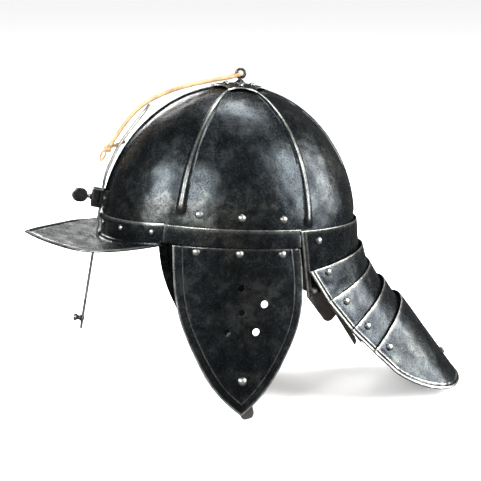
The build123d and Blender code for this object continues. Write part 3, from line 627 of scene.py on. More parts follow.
def strip_on_skull(angles, low, high, grow, thick, rows_near=(0, 0.2, 0.45, 0.8)):
    """Plate on the skull between two heights over the rim; low and high may change with the angle."""
    tall = float(np.mean(high - low))
    across = edge_spacing(tall, 2.5, rows_near) / tall
    heights = low + (high - low) * across[:, None]
    angle = np.broadcast_to(angles, heights.shape)
    rise = rise_at(angle, heights, grow)
    from_edge = np.minimum(across, 1 - across)[:, None] * tall + 0 * angle
    run = np.abs(angles - angles[0]) * 100
    from_end = np.minimum(run, run[-1] - run)[None, :] + 0 * angle
    fall = np.maximum(rounded(from_edge, 0.45), rounded(from_end, 0.45))
    point, normal = on_skull(angle, rise, grow)
    outer = point + normal * (thick - fall)[..., None]
    inner = point + normal * (0.1 * fall)[..., None]
    return outer, inner, from_edge, from_end, across


def side_bands():
    y_from, y_to = BAND_Y
    for side, sign in SIDES.items():
        start = math.acos(-(y_from - SKULL_CENTRE_Y) / SKULL_HALF[1])
        end = math.acos(-(y_to - SKULL_CENTRE_Y) / SKULL_HALF[1])
        angles = sign * (start + edge_spacing(100.0, 1.6) / 100 * (end - start))
        outer, inner, from_edge, from_end, across = strip_on_skull(
            angles, np.full(len(angles), -0.3), np.full(len(angles), BAND_HEIGHT), GAP, BAND_WALL)
        # lighter along the band's upper edge and its ends: rubbed, with a painted highlight along them
        top = np.exp(-((1 - across[:, None]) * BAND_HEIGHT) / 0.7) + 0 * from_edge
        face = np.maximum(0.85 * top, 0.5 * np.exp(-from_end / 0.8))
        wear_and_sheen = np.concatenate([face.ravel(), 0 * face.ravel()])
        piece(f"side_band_plate_{side}", plate(outer, inner), "skull", "blackened_steel",
              [f"side_band_{side}"], wear_and_sheen)


# ---- peak ----------------------------------------------------------------------------------------------
# the peak's double bead: distance from its edge, height over its underside
PEAK_RIM = ((0.0, 0.75), (0.1, 1.35), (0.4, 1.95), (0.9, 2.28), (1.6, 2.22), (2.1, 1.75), (2.6, 1.35),
            (3.1, 1.40), (3.5, 1.95), (4.0, 2.20), (4.4, 1.95), (4.8, 1.35), (5.6, 1.32), (6.6, 1.5))


def peak_dip(y):
    """How far the dished peak hangs under the line from its tip to its ends."""
    tip, end = PEAK_OUTLINE[0][1], PEAK_OUTLINE[-1][1]
    radius = ((end - tip) ** 2 / 4 + PEAK_DIP**2) / (2 * PEAK_DIP)
    off = np.clip(y, tip, end) - (tip + end) / 2
    return PEAK_DIP - radius + np.sqrt(radius**2 - off**2)


def peak_section(outer, corner):
    """Closed section of the peak from its edge to the flange's top, and the brightness of each point."""
    across = corner - outer
    wide = np.linalg.norm(across)
    squeeze = min(1.0, wide / 14.0)
    points, bright = [], []
    for d, z in PEAK_RIM:
        points.append((outer + across / wide * d * squeeze, PEAK_Z + z))
        # lighter along the crests of the two beads: rubbed, with painted highlight lines along them
        bright.append(0.9 * math.exp(-abs(d - 1.0) / 0.6) + 0.7 * math.exp(-abs(d - 4.0) / 0.4))
    start = 6.6 * squeeze
    plain = np.linspace(start, max(start + 0.3, wide - 4.0), 16)[1:]
    for d in plain:
        points.append((outer + across / wide * d, PEAK_Z + 1.5))
        bright.append(0.0)
    for turn in np.linspace(0, 90, 7)[1:]:
        bend = math.radians(turn)
        reach = wide - min(4.0, wide * 0.5) + min(2.7, wide * 0.3) * math.sin(bend)
        points.append((outer + across / wide * reach, PEAK_Z + 1.5 + 2.7 * (1 - math.cos(bend))))
        bright.append(0.0)
    return points, bright


def make_peak():
    half = natural_curve(PEAK_OUTLINE, 120)
    outline = np.concatenate([(half * [-1, 1])[::-1], half[1:]])
    span = math.radians(57.0)
    angles = np.linspace(-span, span, len(outline))
    flange_span = math.radians(FLANGE_ANGLE)
    columns, wear_and_sheen_rows = [], []
    for edge, angle in zip(outline, angles):
        flange_angle = np.float64(np.clip(angle, -flange_span, flange_span))
        foot, _ = on_skull(flange_angle, rise_at(flange_angle, 0.0, 1.4, UP), 1.4)
        section, bright = peak_section(edge, foot[:2])
        column = [np.array([p[0], p[1], z - peak_dip(p[1])]) for p, z in section]
        front, end = FLANGE_TOP
        top = front + (end - front) * (SKULL_HALF[1] + foot[1]) / (SKULL_HALF[1] - 65.0)
        low = column[-1][2] + 0.8
        top_height = top + foot[1] * -math.sin(math.radians(RIM_TILT))
        heights = np.concatenate([np.linspace(low, top_height - 0.6, 8), [top_height - 0.2, top_height]])
        for height in heights:
            fall = rounded(top_height - height, 0.5)
            column.append(on_skull(flange_angle, rise_at(flange_angle, height, 1.35, UP), 1.35 - fall)[0])
            # lighter along the flange's top edge: rubbed, with a painted highlight
            bright.append(0.9 * math.exp(-(top_height - height) / 0.6))
        floor = PEAK_Z + 0.3 - peak_dip(foot[1])
        for height in np.concatenate([[top_height], np.linspace(top_height - 0.4, floor, 8)]):
            column.append(on_skull(flange_angle, rise_at(flange_angle, height, GAP, UP), GAP)[0])
            bright.append(0.0)
        inside = np.array(column[-1])
        for d in np.linspace(1, 0, 14):
            flat = edge + (inside[:2] - edge) * (0.004 + 0.996 * d)
            level = PEAK_Z - peak_dip(flat[1]) + 0.35 * math.exp(-d * 60)
            column.append(np.array([flat[0], flat[1], level]))
            bright.append(0.0)
        columns.append(column)
        wear_and_sheen_rows.append(bright)
    grid = np.array(columns)
    count, around = grid.shape[:2]
    index = np.arange(count * around).reshape(count, around)
    index = np.concatenate([index, index[:, :1]], 1)
    corners = [index[:-1, :-1], index[1:, :-1], index[1:, 1:], index[:-1, 1:]]
    faces = np.stack(corners, -1).reshape(-1, 4).tolist()
    faces += [index[0, :-1].tolist(), index[-1, :-1][::-1].tolist()]
    verts = grid.reshape(-1, 3)
    peak = piece("peak_plate", (verts, faces), "skull", "blackened_steel", ["peak"], np.array(wear_and_sheen_rows),
                 sharp=35)
    frame_origin, along = bar_place(-4.0)
    slot = np.array([BAR_WIDTH / 2 + 0.8, BAR_THICK / 2 + 0.8, 12.0])
    cut(peak, block(frame_origin, slot, along, 0.6))


# ---- nasal bar, bracket, knob and screw ----------------------------------------------------------------
def bar_place(z):
    """Point on the straight bar's centre line at a height, and the bar's direction."""
    (low_y, low_z), (high_y, high_z) = BAR_PATH[:2]
    along = np.array([0, high_y - low_y, high_z - low_z])
    share = (z - low_z) / (high_z - low_z)
    return np.array([0, low_y + share * along[1], z]), along / np.linalg.norm(along)


def bar_frame(z):
    """Point on the bar's centre line, the bar's direction, and the direction out of its face."""
    centre, along = bar_place(z)
    forward = -np.cross(along, [1, 0, 0])
    return centre, along, forward * -np.sign(forward[1])


def block(centre, half, along, bevel):
    """Box with bevelled edges whose third axis points along a direction in the fore-aft plane."""
    made = bmesh.new()
    bmesh.ops.create_cube(made, size=2.0)
    bmesh.ops.scale(made, vec=Vector(half), verts=made.verts)
    bmesh.ops.bevel(made, geom=made.edges[:], offset=bevel, segments=3, profile=0.6, affect="EDGES")
    made.verts.index_update()
    verts = np.array([v.co for v in made.verts])
    faces = [[v.index for v in f.verts] for f in made.faces]
    made.free()
    back = np.cross(along, [1, 0, 0])
    turned = verts[:, :1] * np.array([1, 0, 0]) + verts[:, 1:2] * back + verts[:, 2:] * along
    return centre + turned, faces


def bar_line():
    """Centre line of the bar: straight runs with rounded corners, as points."""
    corners = [np.array([0.0, y, z]) for y, z in BAR_PATH]
    line = [corners[0]]
    for before, here, after, radius in zip(corners, corners[1:], corners[2:], BAR_PATH_RADII):
        into, out = unit(here - before), unit(after - here)
        turn = math.acos(float(into @ out))
        reach = radius * math.tan(turn / 2)
        for share in np.linspace(0, 1, 9):
            a, b = here - into * reach * (1 - share), here + out * reach * share
            line.append(a + (b - a) * share)
    line.append(corners[-1])
    return np.array(line)


def make_bar():
    line = bar_line()
    length = run_along(line)[-1]
    where = edge_spacing(length, 2.5)
    line = resampled(line, where)
    ahead = unit(np.gradient(line, axis=0))
    front = np.cross(ahead, [1, 0, 0])
    half, thick = BAR_WIDTH / 2, BAR_THICK / 2
    section = [(-half, 0.45), (-half + 0.25, 0.8), (-half + 0.8, 1.0), (0, 1.0), (half - 0.8, 1.0),
               (half - 0.25, 0.8), (half, 0.45), (half, -0.45), (half - 0.25, -0.8), (half - 0.8, -1.0),
               (0, -1.0), (-half + 0.8, -1.0), (-half + 0.25, -0.8), (-half, -0.45)]
    rings, wear_and_sheen = [], []
    for k, centre in enumerate(line):
        end = min(where[k], length - where[k])
        shrink = 1 - 0.12 * math.exp(-end / 0.4)
        taper = 1 - 0.45 * step_up(8.0, 0.0, end) ** 2
        for x, y in section:
            rings.append(centre + np.array([x * taper, 0, 0]) - front[k] * y * thick * shrink)
            # lighter along the bar's two edges: rubbed, with a painted highlight
            wear_and_sheen.append(0.75 if abs(x) > half - 0.5 else 0.1)
    shape = np.array(rings), ring_faces(len(line), len(section))
    bar = piece("nasal_bar_blade", shape, "nasal_bar", "blackened_steel", ["nasal_bar"], wear_and_sheen)
    hole = np.array([0, *BAR_HOLE])
    cut(bar, lathe([(2.0, -6), (2.0, 6)], hole, unit(hole - np.array(KNOT)), 20))


# turned profiles: radius, distance in front of the bar's centre line
KNOB_PROFILE = ((1.8, -1.8), (1.8, 1.1), (2.7, 1.1), (3.0, 1.35), (3.0, 2.0), (2.7, 2.3), (2.15, 2.9),
                (2.05, 3.8), (2.3, 4.7), (3.1, 5.3), (3.55, 5.8), (3.6, 6.5), (3.4, 7.3), (2.8, 8.1),
                (1.8, 8.5), (0.8, 8.6))


def make_knob():
    centre, _, forward = bar_frame(KNOB_Z)
    shape = lathe(KNOB_PROFILE, centre, forward, 32)
    # lighter round the knob's widest ring: rubbed, with a painted highlight
    wear_and_sheen = np.repeat([0.15 + 0.6 * math.exp(-abs(h - 6.5) / 0.8) for _, h in KNOB_PROFILE], 32)
    piece("nasal_knob_spool", shape, "nasal_bar", "blackened_steel", ["nasal_knob"], wear_and_sheen)


SCREW_PROFILE = ((2.36, 1.4), (2.36, 9.3), (2.9, 9.5), (2.9, 10.3), (2.1, 10.9), (1.75, 12.0), (1.9, 13.2))


def make_screw():
    centre, along, forward = bar_frame(SCREW_Z)
    shapes = [lathe(SCREW_PROFILE, centre, forward, 24)]
    rows = []
    for turn in np.linspace(0, 360, 61)[:-1]:
        c, s = math.cos(math.radians(turn)), math.sin(math.radians(turn))
        rows.append((7.35 * c, 6.75 * np.sign(s) * abs(s) ** 0.86))
    rim = np.array(rows)
    rings = []
    for share, x in ((0.0, 1.15), (0.5, 1.25), (0.82, 1.3), (0.93, 1.05), (0.99, 0.5), (1.0, 0.0),
                     (0.99, -0.5), (0.93, -1.05), (0.82, -1.3), (0.5, -1.25), (0.0, -1.15)):
        scaled = rim * max(share, 0.02)
        rings.append(centre + forward * (19.8 + scaled[:, :1]) + along * scaled[:, 1:] + np.array([x, 0, 0]))
    shapes.append((np.concatenate(rings), ring_faces(len(rings), len(rim))))
    shape = merged(shapes)
    from_centre = np.linalg.norm((shape[0] - centre - forward * 19.8)[:, 1:], axis=1)
    # lighter round the rim of the wing head: rubbed, with a painted highlight
    wear_and_sheen = 0.1 + 0.5 * np.exp(-np.abs(from_centre - 7.0) / 0.5)
    piece("wing_screw_head", shape, "wing_screw", "blackened_steel", ["wing_screw"], wear_and_sheen)


def make_bracket():
    centre, along, forward = bar_frame(SCREW_Z)
    tall = BRACKET_HEIGHT / 2
    shapes = [block(centre + forward * (BRACKET_WALL + 3.8), (8.0, 3.8, tall), along, 0.9)]
    for sign in (1, -1):
        leg = centre - forward * 1.0 + np.array([sign * 7.1, 0, 0])
        shapes.append(block(leg, (0.9, 4.4, tall - 0.2), along, 0.3))
    for sign in (1, -1):
        angles = np.radians(sign * (3.1 + edge_spacing(10.0, 0.8, (0, 0.15, 0.4, 0.8)) / 10 * 5.9))
        heights = np.linspace(18.6, 38.0, 22)
        rise = np.array([rise_at(angles, h, GAP, UP) for h in heights])
        angle = np.broadcast_to(angles, rise.shape)
        end = np.minimum(heights - heights[0], heights[-1] - heights)[:, None] + 0 * rise
        side = np.minimum(np.abs(angles - angles[0]), np.abs(angles[-1] - angles))[None, :] * 116 + 0 * rise
        fall = np.maximum(rounded(end, 0.5), rounded(side, 0.5))
        point, normal = on_skull(angle, rise, GAP)
        shapes.append(plate(point + normal * (BRACKET_WALL - fall)[..., None], point))
    shape = merged(shapes)
    wear_and_sheen = np.full(len(shape[0]), 0.06)
    piece("nasal_bracket_staple", shape, "skull", "blackened_steel", ["nasal_bracket"], wear_and_sheen)


# ---- rivets --------------------------------------------------------------------------------------------
def rivet(spot, head_r=3.7, head_h=1.9, grip=5.0, shank_r=1.8):
    """Hand-set rivet: a cap of a ball that leans a little, on a shank with a flattened tail inside."""
    place, normal = spot
    lean = np.array([random.uniform(-0.03, 0.03) for _ in range(3)])
    normal = unit(np.asarray(normal) + lean)
    ball_r = (head_r**2 + head_h**2) / (2 * head_h)
    radii = np.linspace(head_r * 0.99, head_r * 0.1, 9)
    dome = [(r, math.sqrt(ball_r**2 - r**2) - ball_r + head_h) for r in radii]
    tail = [(shank_r + 1.0, -grip - 0.9), (shank_r + 1.2, -grip - 0.5), (shank_r + 1.1, -grip)]
    rim = [(shank_r, -grip), (shank_r, -0.3), (head_r * 0.99, -0.3), (head_r, 0.0)]
    profile = tail + rim + dome + [(0.05 * head_r, head_h)]
    verts, faces = lathe(profile, np.asarray(place), normal, 26)
    height = (verts - place) @ normal
    # colour mask up the head: 0 low down where it meets the plate, which the rivet steel paints as a dark
    # shade ring; 1 on top, rubbed steel with a painted highlight
    return verts, faces, np.clip((height - 0.35 * head_h) / (0.50 * head_h), 0, 1)


def rivet_group(name, node, body, spots, slot="bright_rivet", **sizes):
    made = [rivet(spot, **sizes) for spot in spots]
    wear_and_sheen = np.concatenate([m[2] for m in made])
    piece(name, merged([m[:2] for m in made]), body, slot, [node], wear_and_sheen, sharp=55)


def hinge_angle(y):
    share = (y - SKULL_CENTRE_Y) / SKULL_HALF[1]
    return math.degrees(math.atan2(math.sqrt(1 - share**2), -share))


PEAK_RIVETS = ((10.0, 1.5), (30.0, 3.0), (49.5, 5.5))
CROWN_WALL = 1.2
CROWN_TOP = RIB_HEIGHT + GAP + CROWN_WALL
CROWN_RIVET_R = 14.0


def crown_spot(k):
    turn = math.radians(90 + (k + 0.5) * 60)
    x, y = CROWN_RIVET_R * math.cos(turn), CROWN_RIVET_R * math.sin(turn)
    a, b, c = (half + CROWN_TOP for half in SKULL_HALF)
    z = c * math.sqrt(1 - (x / a) ** 2 - (y / b) ** 2)
    normal = unit(np.array([x / a**2, y / b**2, z / c**2]))
    return from_dome(np.array([x, y, z])), turn_x(normal, -DOME_TILT)


def make_rivets():
    both = (1, -1)
    dark = "blackened_steel"
    rivet_group("peak_rivet_heads", "peak_rivets", "skull", head_r=3.1, grip=3.2, shank_r=1.5, slot=dark,
                spots=[skull_spot(s * a, h, GAP + BAND_WALL) for a, h in PEAK_RIVETS for s in both])
    rivet_group("bracket_rivet_heads", "bracket_rivets", "skull", head_r=2.4, head_h=1.4, grip=3.4,
                shank_r=1.2, slot=dark,
                spots=[skull_spot(s * 6.3, h, GAP + BRACKET_WALL) for h in (13.5, 22.0) for s in both])
    rivet_group("rosette_rivet_heads", "rosette_rivets", "skull", head_r=2.9, head_h=1.8, grip=5.1,
                shank_r=1.3, slot=dark,
                spots=[crown_spot(k) for k in range(6)])
    for side, sign in SIDES.items():
        rivet_group(f"skull_hinge_rivet_heads_{side}", f"skull_hinge_rivets_{side}", "skull", grip=6.5,
                    spots=[skull_spot(sign * hinge_angle(y), HINGE_STANDOFF) for y in HINGE_YS])
        heights = [cheek_top(np.float64(y)) - CHEEK_RIVET_DROP for y in HINGE_YS]
        rivet_group(f"cheek_hinge_rivet_heads_{side}", f"cheek_hinge_rivets_{side}", f"cheek_{side}",
                    grip=4.9, spots=[on_cheek(np.float64(y), z, PANEL_RAISE, sign)
                                     for y, z in zip(HINGE_YS, heights)])
        rivet_group(f"cheek_tip_rivet_head_{side}", f"cheek_tip_rivet_{side}", f"cheek_{side}", grip=4.9,
                    spots=[on_cheek(np.float64(TIP_RIVET[0]), TIP_RIVET[1], PANEL_RAISE, sign)],
                    head_r=4.2, head_h=2.1)
    for number, drop in PIVOT_DROP.items():
        rivet_group(f"lame_{number}_rivet_heads", f"lame_{number}_rivets", lame_body(number), grip=6.0,
                    spots=[lame_spot(number, s * PIVOT_TURN, drop) for s in both])
    rivet_group("flap_rivet_heads", "lame_1_rivets", "skull", grip=3.3,
                spots=[lame_spot(1, s * LOW_RIVET[0], LOW_RIVET[1]) for s in both])
    rivet_group("tail_rivet_head", "tail_rivet", "lame_5", spots=[lame_spot(5, 0.0, 71.0)], grip=1.6)


# ---- crown plate and eye -------------------------------------------------------------------------------
CROWN_R = 27.0
CROWN_DIP = 8.5


def crown_reach(turn):
    """How far the star reaches from its centre: an arc sunk between each pair of its six points."""
    step = math.pi / 3
    inside = (turn - math.pi / 2) % step
    chord_middle = CROWN_R * math.cos(step / 2)
    sag = chord_middle - (CROWN_R - CROWN_DIP)
    half_chord = CROWN_R * math.sin(step / 2)
    radius = (half_chord**2 + sag**2) / (2 * sag)
    centre = CROWN_R - CROWN_DIP + radius
    off = abs(inside - step / 2)
    return centre * math.cos(off) - math.sqrt(max(radius**2 - (centre * math.sin(off)) ** 2, 0))


def on_crown(x, y, grow):
    a, b, c = (half + grow for half in SKULL_HALF)
    z = c * np.sqrt(1 - (x / a) ** 2 - (y / b) ** 2)
    return from_dome(np.stack([x, y, z], -1))


def make_crown():
    turns = np.linspace(0, 2 * math.pi, 241)[:-1]
    reach = np.array([min(crown_reach(t), CROWN_R - 0.7) for t in turns])
    share = np.concatenate([np.linspace(0.09, 0.86, 16), [0.90, 0.94, 0.965, 0.985, 1.0]])
    x = share[:, None] * reach * np.cos(turns)
    y = share[:, None] * reach * np.sin(turns)
    from_edge = (1 - share[:, None]) * reach
    low, high = RIB_HEIGHT + GAP, CROWN_TOP
    outer = on_crown(x, y, high)
    inner = on_crown(x, y, low)
    fall = rounded(from_edge, 0.5)[..., None]
    crease = 0.25 * np.exp(-((from_edge - 2.2) / 0.6) ** 2)[..., None]
    outer = outer - (outer - inner) * (fall / CROWN_WALL + crease / CROWN_WALL)
    # lighter along the star's edge: rubbed, with a painted highlight
    wear_and_sheen = np.concatenate([(0.8 * np.exp(-from_edge / 0.7)).ravel(), 0 * from_edge.ravel()])
    piece("crown_star", plate(outer, inner, loop=True), "skull", "blackened_steel", ["crown_rosette"], wear_and_sheen)


EYE_R = 3.9
EYE_WIRE_R = 1.4
EYE_RISE = 8.8                  # the ring's centre over the crown plate
EYE_HEIGHT = SKULL_HALF[2] + CROWN_TOP + EYE_RISE
EYE_FOOT = ((1.9, -7.0), (1.9, -1.0), (5.0, -1.0), (5.2, 0.2), (4.9, 0.9), (3.6, 1.5), (3.4, 2.2),
            (2.5, 2.7), (1.9, 3.2), (1.75, 4.0), (1.7, 4.6))


def make_eye():
    centre = from_dome(np.array([0, 0, EYE_HEIGHT]))
    base = from_dome(np.array([0, 0, SKULL_HALF[2] + CROWN_TOP]))
    up = turn_x(UP, -DOME_TILT)
    forward = np.cross(up, [1, 0, 0])
    turns = np.linspace(0, 2 * math.pi, 49)[:-1]
    loop = centre + EYE_R * (np.cos(turns)[:, None] * forward + np.sin(turns)[:, None] * up)
    thick = EYE_WIRE_R * (1 - 0.10 * np.sin(turns))
    nut = lathe([(4.0, -7.2), (4.2, -6.9), (4.2, -5.6), (4.0, -5.3)], base, up, 6)
    shape = merged([tube(loop, thick, 16, closed=True), lathe(EYE_FOOT, base, up, 32), nut])
    wear_and_sheen = np.full(len(shape[0]), 0.12)
    piece("finial_ring", shape, "skull", "blackened_steel", ["finial_eye"], wear_and_sheen, sharp=50)


# ---- cheek plates --------------------------------------------------------------------------------------
def cheek_relief(distance):
    """Depth of the cheek's face under its highest level, by distance from its outline."""
    rim = 0.35 * np.exp(-(((distance - 0.9) / 0.7) ** 2))
    step = step_up(CHEEK_BORDER - 0.5, CHEEK_BORDER + 0.9, distance)
    groove = 0.25 * np.exp(-(((distance - CHEEK_BORDER + 0.9) / 0.6) ** 2))
    lip = 0.25 * np.exp(-(((distance - CHEEK_BORDER - 1.5) / 0.8) ** 2))
    return PANEL_RAISE * step + rim - groove + lip - 0.25


CHEEK_SIDE_STEPS = np.array([0, 0.15, 0.4, 0.8, 1.3, 1.9, 2.6, 4.0, 5.6, 6.6, 7.0, 7.3, 7.6, 7.9, 8.2, 8.5,
                             8.8, 9.2, 9.7, 10.4, 11.4])


def make_cheek(side, sign):
    front, back = natural_curve(CHEEK_FRONT, 400), natural_curve(CHEEK_BACK, 400)
    lowest = CHEEK_FRONT[-1][1]
    share = edge_spacing(1.0, 1 / 170, (0, 0.0012, 0.003, 0.006))
    y_grid, z_grid, distance = [], [], []
    for s in share:
        level = -1.0 + (lowest + 1.0 + 0.02) * s
        ends, leans = [], []
        for line in (front, back):
            ends.append(np.interp(-level, -line[:, 1], line[:, 0]))
            before, after = (np.interp(-level + d, -line[:, 1], line[:, 0]) for d in (-0.8, 0.8))
            leans.append(1.6 / math.hypot(1.6, after - before))
        width = ends[1] - ends[0]
        middle_steps = np.linspace(0, 1, 46)[1:-1]
        widest = 0.40 * width * CHEEK_SIDE_STEPS / CHEEK_SIDE_STEPS[-1]
        left, right = (np.minimum(CHEEK_SIDE_STEPS / lean, widest) for lean in leans)
        inner = left[-1] + (width - left[-1] - right[-1]) * middle_steps
        y = ends[0] + np.concatenate([left, inner, (width - right)[::-1]])
        y_grid.append(y)
        top = cheek_top(np.clip(y, -70, 70))
        z_grid.append(top * (1 - s) + lowest * s)
        distance.append(np.minimum((y - ends[0]) * leans[0], (ends[1] - y) * leans[1]))
    y, z, distance = np.array(y_grid), np.array(z_grid), np.maximum(np.array(distance), 0)
    from_top = cheek_top(np.clip(y, -70, 70)) - z
    point, normal = on_cheek(y, z, 0.0, sign)
    relief = cheek_relief(distance) + dents(point, 24.0, 0.30) + dents(point + 70, 8.0, 0.08)
    fall = np.maximum(rounded(distance, 0.6), rounded(from_top, 0.5))
    outer = point + normal * (np.minimum(relief, PANEL_RAISE) - fall)[..., None]
    inner = point + normal * (np.minimum(relief, PANEL_RAISE) - WALL + fall * 0.7)[..., None]
    # lighter along the outer bead, the border's lip and the top edge: rubbed, with painted highlight lines
    # along them
    wear_and_sheen = 0.95 * np.exp(-(((distance - 0.8) / 0.8) ** 2)) + 0.5 * np.exp(-(((distance - 8.6) / 0.5) ** 2))
    wear_and_sheen = np.maximum(wear_and_sheen, 0.5 * np.exp(-from_top / 0.6))
    wear_and_sheen = np.concatenate([wear_and_sheen.ravel(), 0 * wear_and_sheen.ravel()])
    cheek = piece(f"cheek_plate_leaf_{side}", plate(outer, inner), f"cheek_{side}", "blackened_steel",
                  [f"cheek_plate_{side}"], wear_and_sheen, sharp=50)
    spots = [EAR_CENTRE]
    for k in range(5):
        turn = math.radians(90 + 72 * k)
        spots.append((EAR_CENTRE[0] + EAR_RING_R * math.cos(turn),
                      EAR_CENTRE[1] + EAR_RING_R * math.sin(turn)))
    flared = [(EAR_HOLE_R, -6), (EAR_HOLE_R, -0.4), (EAR_HOLE_R + 0.05, 0.3), (EAR_HOLE_R + 1.0, 2.0),
              (EAR_HOLE_R + 2.0, 6)]
    holes = []
    for y_hole, z_hole in spots:
        place, out = on_cheek(np.float64(y_hole), np.float64(z_hole), 0.0, sign)
        holes.append(lathe(flared, place, out, 32))
    cut(cheek, merged(holes))


# ---- neck guard ----------------------------------------------------------------------------------------
def lame_border(distance):
    """Depth under the lame's outside: a turned bead along the edge, a groove and a second line."""
    bead = np.clip(1 - ((distance - 1.5) / 1.7) ** 2, 0, 1) ** 0.5
    second = np.clip(1 - ((distance - 4.6) / 0.9) ** 2, 0, 1) ** 0.5
    groove = 0.25 * np.exp(-(((distance - 3.4) / 0.5) ** 2)) + 0.2 * np.exp(-(((distance - 6.0) / 0.6) ** 2))
    return 0.55 * bead + 0.45 * second - groove - 0.55


def nearest(points, line):
    """Distance of each point to a fine polyline."""
    flat = points.reshape(-1, 3)
    best = np.full(len(flat), 1e9)
    for spot in line:
        best = np.minimum(best, np.linalg.norm(flat - spot, axis=1))
    return best.reshape(points.shape[:-1])


def lame_body(number):
    """The body a lame rides on: the first is fixed to the skull."""
    return "skull" if number == 1 else f"lame_{number}"


def make_lame(number):
    side_angles = np.array([0, 0.1, 0.3, 0.6, 1.0, 1.5, 2.0, 2.5, 3.0, 3.6])
    middle = np.linspace(-LAME_SPREAD + 4.4, LAME_SPREAD - 4.4, 104)
    turns = np.concatenate([-LAME_SPREAD + side_angles, middle, (LAME_SPREAD - side_angles)[::-1]])
    top, low = lame_edges(number, turns)
    normal = lame_normal(number, turns)
    if number == 5:
        share = np.concatenate([[0, 0.002, 0.006, 0.012, 0.02], np.linspace(0.035, 0.88, 46),
                                [0.90, 0.92, 0.935, 0.95, 0.96, 0.97, 0.978, 0.985, 0.991, 0.996, 1.0]])
    else:
        share = np.concatenate([[0, 0.004, 0.011, 0.021, 0.035], np.linspace(0.06, 0.94, 30),
                                [0.965, 0.98, 0.992, 1.0]])
    point = top + (low - top) * share[:, None, None]
    normal = np.broadcast_to(normal, point.shape)
    edge_line = [point[:, 0], point[:, -1]]
    if number == 5:
        edge_line.append(point[-1])
    fine = [closer_points(line, 0.5) for line in edge_line]
    from_border = nearest(point, np.concatenate(fine))
    from_top = np.linalg.norm(point - point[:1], axis=-1)
    from_low = np.linalg.norm(point - point[-1:], axis=-1)
    wide_dents = 0.25 * np.minimum(dents(point, 22.0, 1.0), 0.6)
    relief = np.minimum(lame_border(from_border) + wide_dents + dents(point + 40, 8.0, 0.08), 0.0)
    fall = np.maximum(rounded(from_border, 0.6), np.maximum(rounded(from_top, 0.55), rounded(from_low, 0.5)))
    outer = point + normal * (relief - fall)[..., None]
    inner = point + normal * (relief * 0.5 - LAME_WALL + 0.35 * fall)[..., None]
    # lighter along the edge bead, the second line and the top edge: rubbed, with painted highlight lines
    # along them
    bead = 0.9 * np.exp(-(((from_border - 1.1) / 0.8) ** 2))
    second = 0.7 * np.exp(-(((from_border - 4.6) / 0.5) ** 2))
    wear_and_sheen = np.maximum(bead + second, 0.95 * np.exp(-from_top / 0.9))
    wear_and_sheen = np.concatenate([wear_and_sheen.ravel(), 0 * wear_and_sheen.ravel()])
    piece(f"neck_lame_{number}", plate(outer, inner), lame_body(number), "blackened_steel",
          [f"lame_{number}"], wear_and_sheen, sharp=50)


def closer_points(line, step):
    """A polyline with points no more than a step apart."""
    length = run_along(line)[-1]
    return resampled(line, np.linspace(0, length, int(length / step) + 2))


# ---- thong and its knot --------------------------------------------------------------------------------
THONG_D = 3.5
EYE = from_dome(np.array([0, 0, EYE_HEIGHT]))
THONG_HALF = [(2.4, -106.0, 78.0), (2.6, -95.0, 95.5), (2.8, -77.0, 115.5), (3.0, -47.0, 129.0),
              (3.3, -14.0, 135.8), (3.8, 4.0, 138.4), (4.0, EYE[1] - 0.2, EYE[2] - 0.3)]
KNOT = (0.0, -108.3, 75.6)


def spline_points(route):
    """Points of the smooth line that has a route, in millimetres, as its control points."""
    curve = bpy.data.curves.new("route", "CURVE")
    curve.dimensions = "3D"
    spline = curve.splines.new("NURBS")
    spline.points.add(len(route) - 1)
    for point, (x, y, z) in zip(spline.points, route):
        point.co = (x * MM, y * MM, z * MM, 1)
    spline.order_u = 3
    spline.use_endpoint_u = True
    spline.resolution_u = 16
    holder = bpy.data.objects.new("route", curve)
    mesh = bpy.data.meshes.new_from_object(holder)
    points = np.array([v.co for v in mesh.vertices]) / MM
    bpy.data.objects.remove(holder)
    bpy.data.curves.remove(curve)
    bpy.data.meshes.remove(mesh)
    return points


def knot_wraps(centre, size, radius, turn):
    """Trefoil of cord pulled up tight, turned about the fore-aft axis."""
    t = np.linspace(0, 2 * math.pi, 91)[:-1]
    flat = np.stack([-0.9 * np.sin(3 * t), np.sin(t) + 2 * np.sin(2 * t), np.cos(t) - 2 * np.cos(2 * t)], -1)
    return tube(centre + turn_x(flat, turn) * size / 3, radius, 12, closed=True)


def make_thong():
    centre, hole = np.array(KNOT), np.array([0, *BAR_HOLE])
    along = unit(hole - centre)
    shapes = [knot_wraps(centre, 3.1, 1.42, 25),
              knot_wraps(centre + np.array([0.2, 0.3, 0.2]), 2.2, 1.3, 78)]
    reach = np.linspace(0, 15.4, 24)
    wobble = np.stack([0.15 * np.sin(reach), 0 * reach, 0.12 * np.cos(1.3 * reach)], -1)
    shapes.append(tube(centre + along * reach[:, None] + wobble, 1.5, 12))
    shapes.append(knot_wraps(centre + along * 15.4, 0.95, 0.85, 40))
    t = np.linspace(0, 2 * math.pi, 61)[:-1]
    loop = np.stack([0.7 * np.sin(t), 1.75 * np.sin(t) * (1 + 0.25 * np.cos(t)), 4.6 * np.cos(t)], -1)
    shapes.append(tube(np.array([0, -113.0, 68.7]) + turn_x(loop, -22), 1.15, 12, closed=True))
    knot = piece("thong_knot_wraps", merged(shapes), "nasal_bar", "tan_leather", ["thong_knot"], sharp=80)
    route = THONG_HALF + [(-x, y, z) for x, y, z in reversed(THONG_HALF)]
    line = spline_points(route)
    uneven = np.array([noise.noise(Vector((0, k * 0.23, 0))) for k in range(len(line))])
    shape = tube(line, THONG_D / 2 * (1 + 0.05 * uneven), 16, flatten=0.94, twist=0.03)
    thong = piece("thong_lace", shape, None, "tan_leather", ["thong"], sharp=80)
    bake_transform(thong)


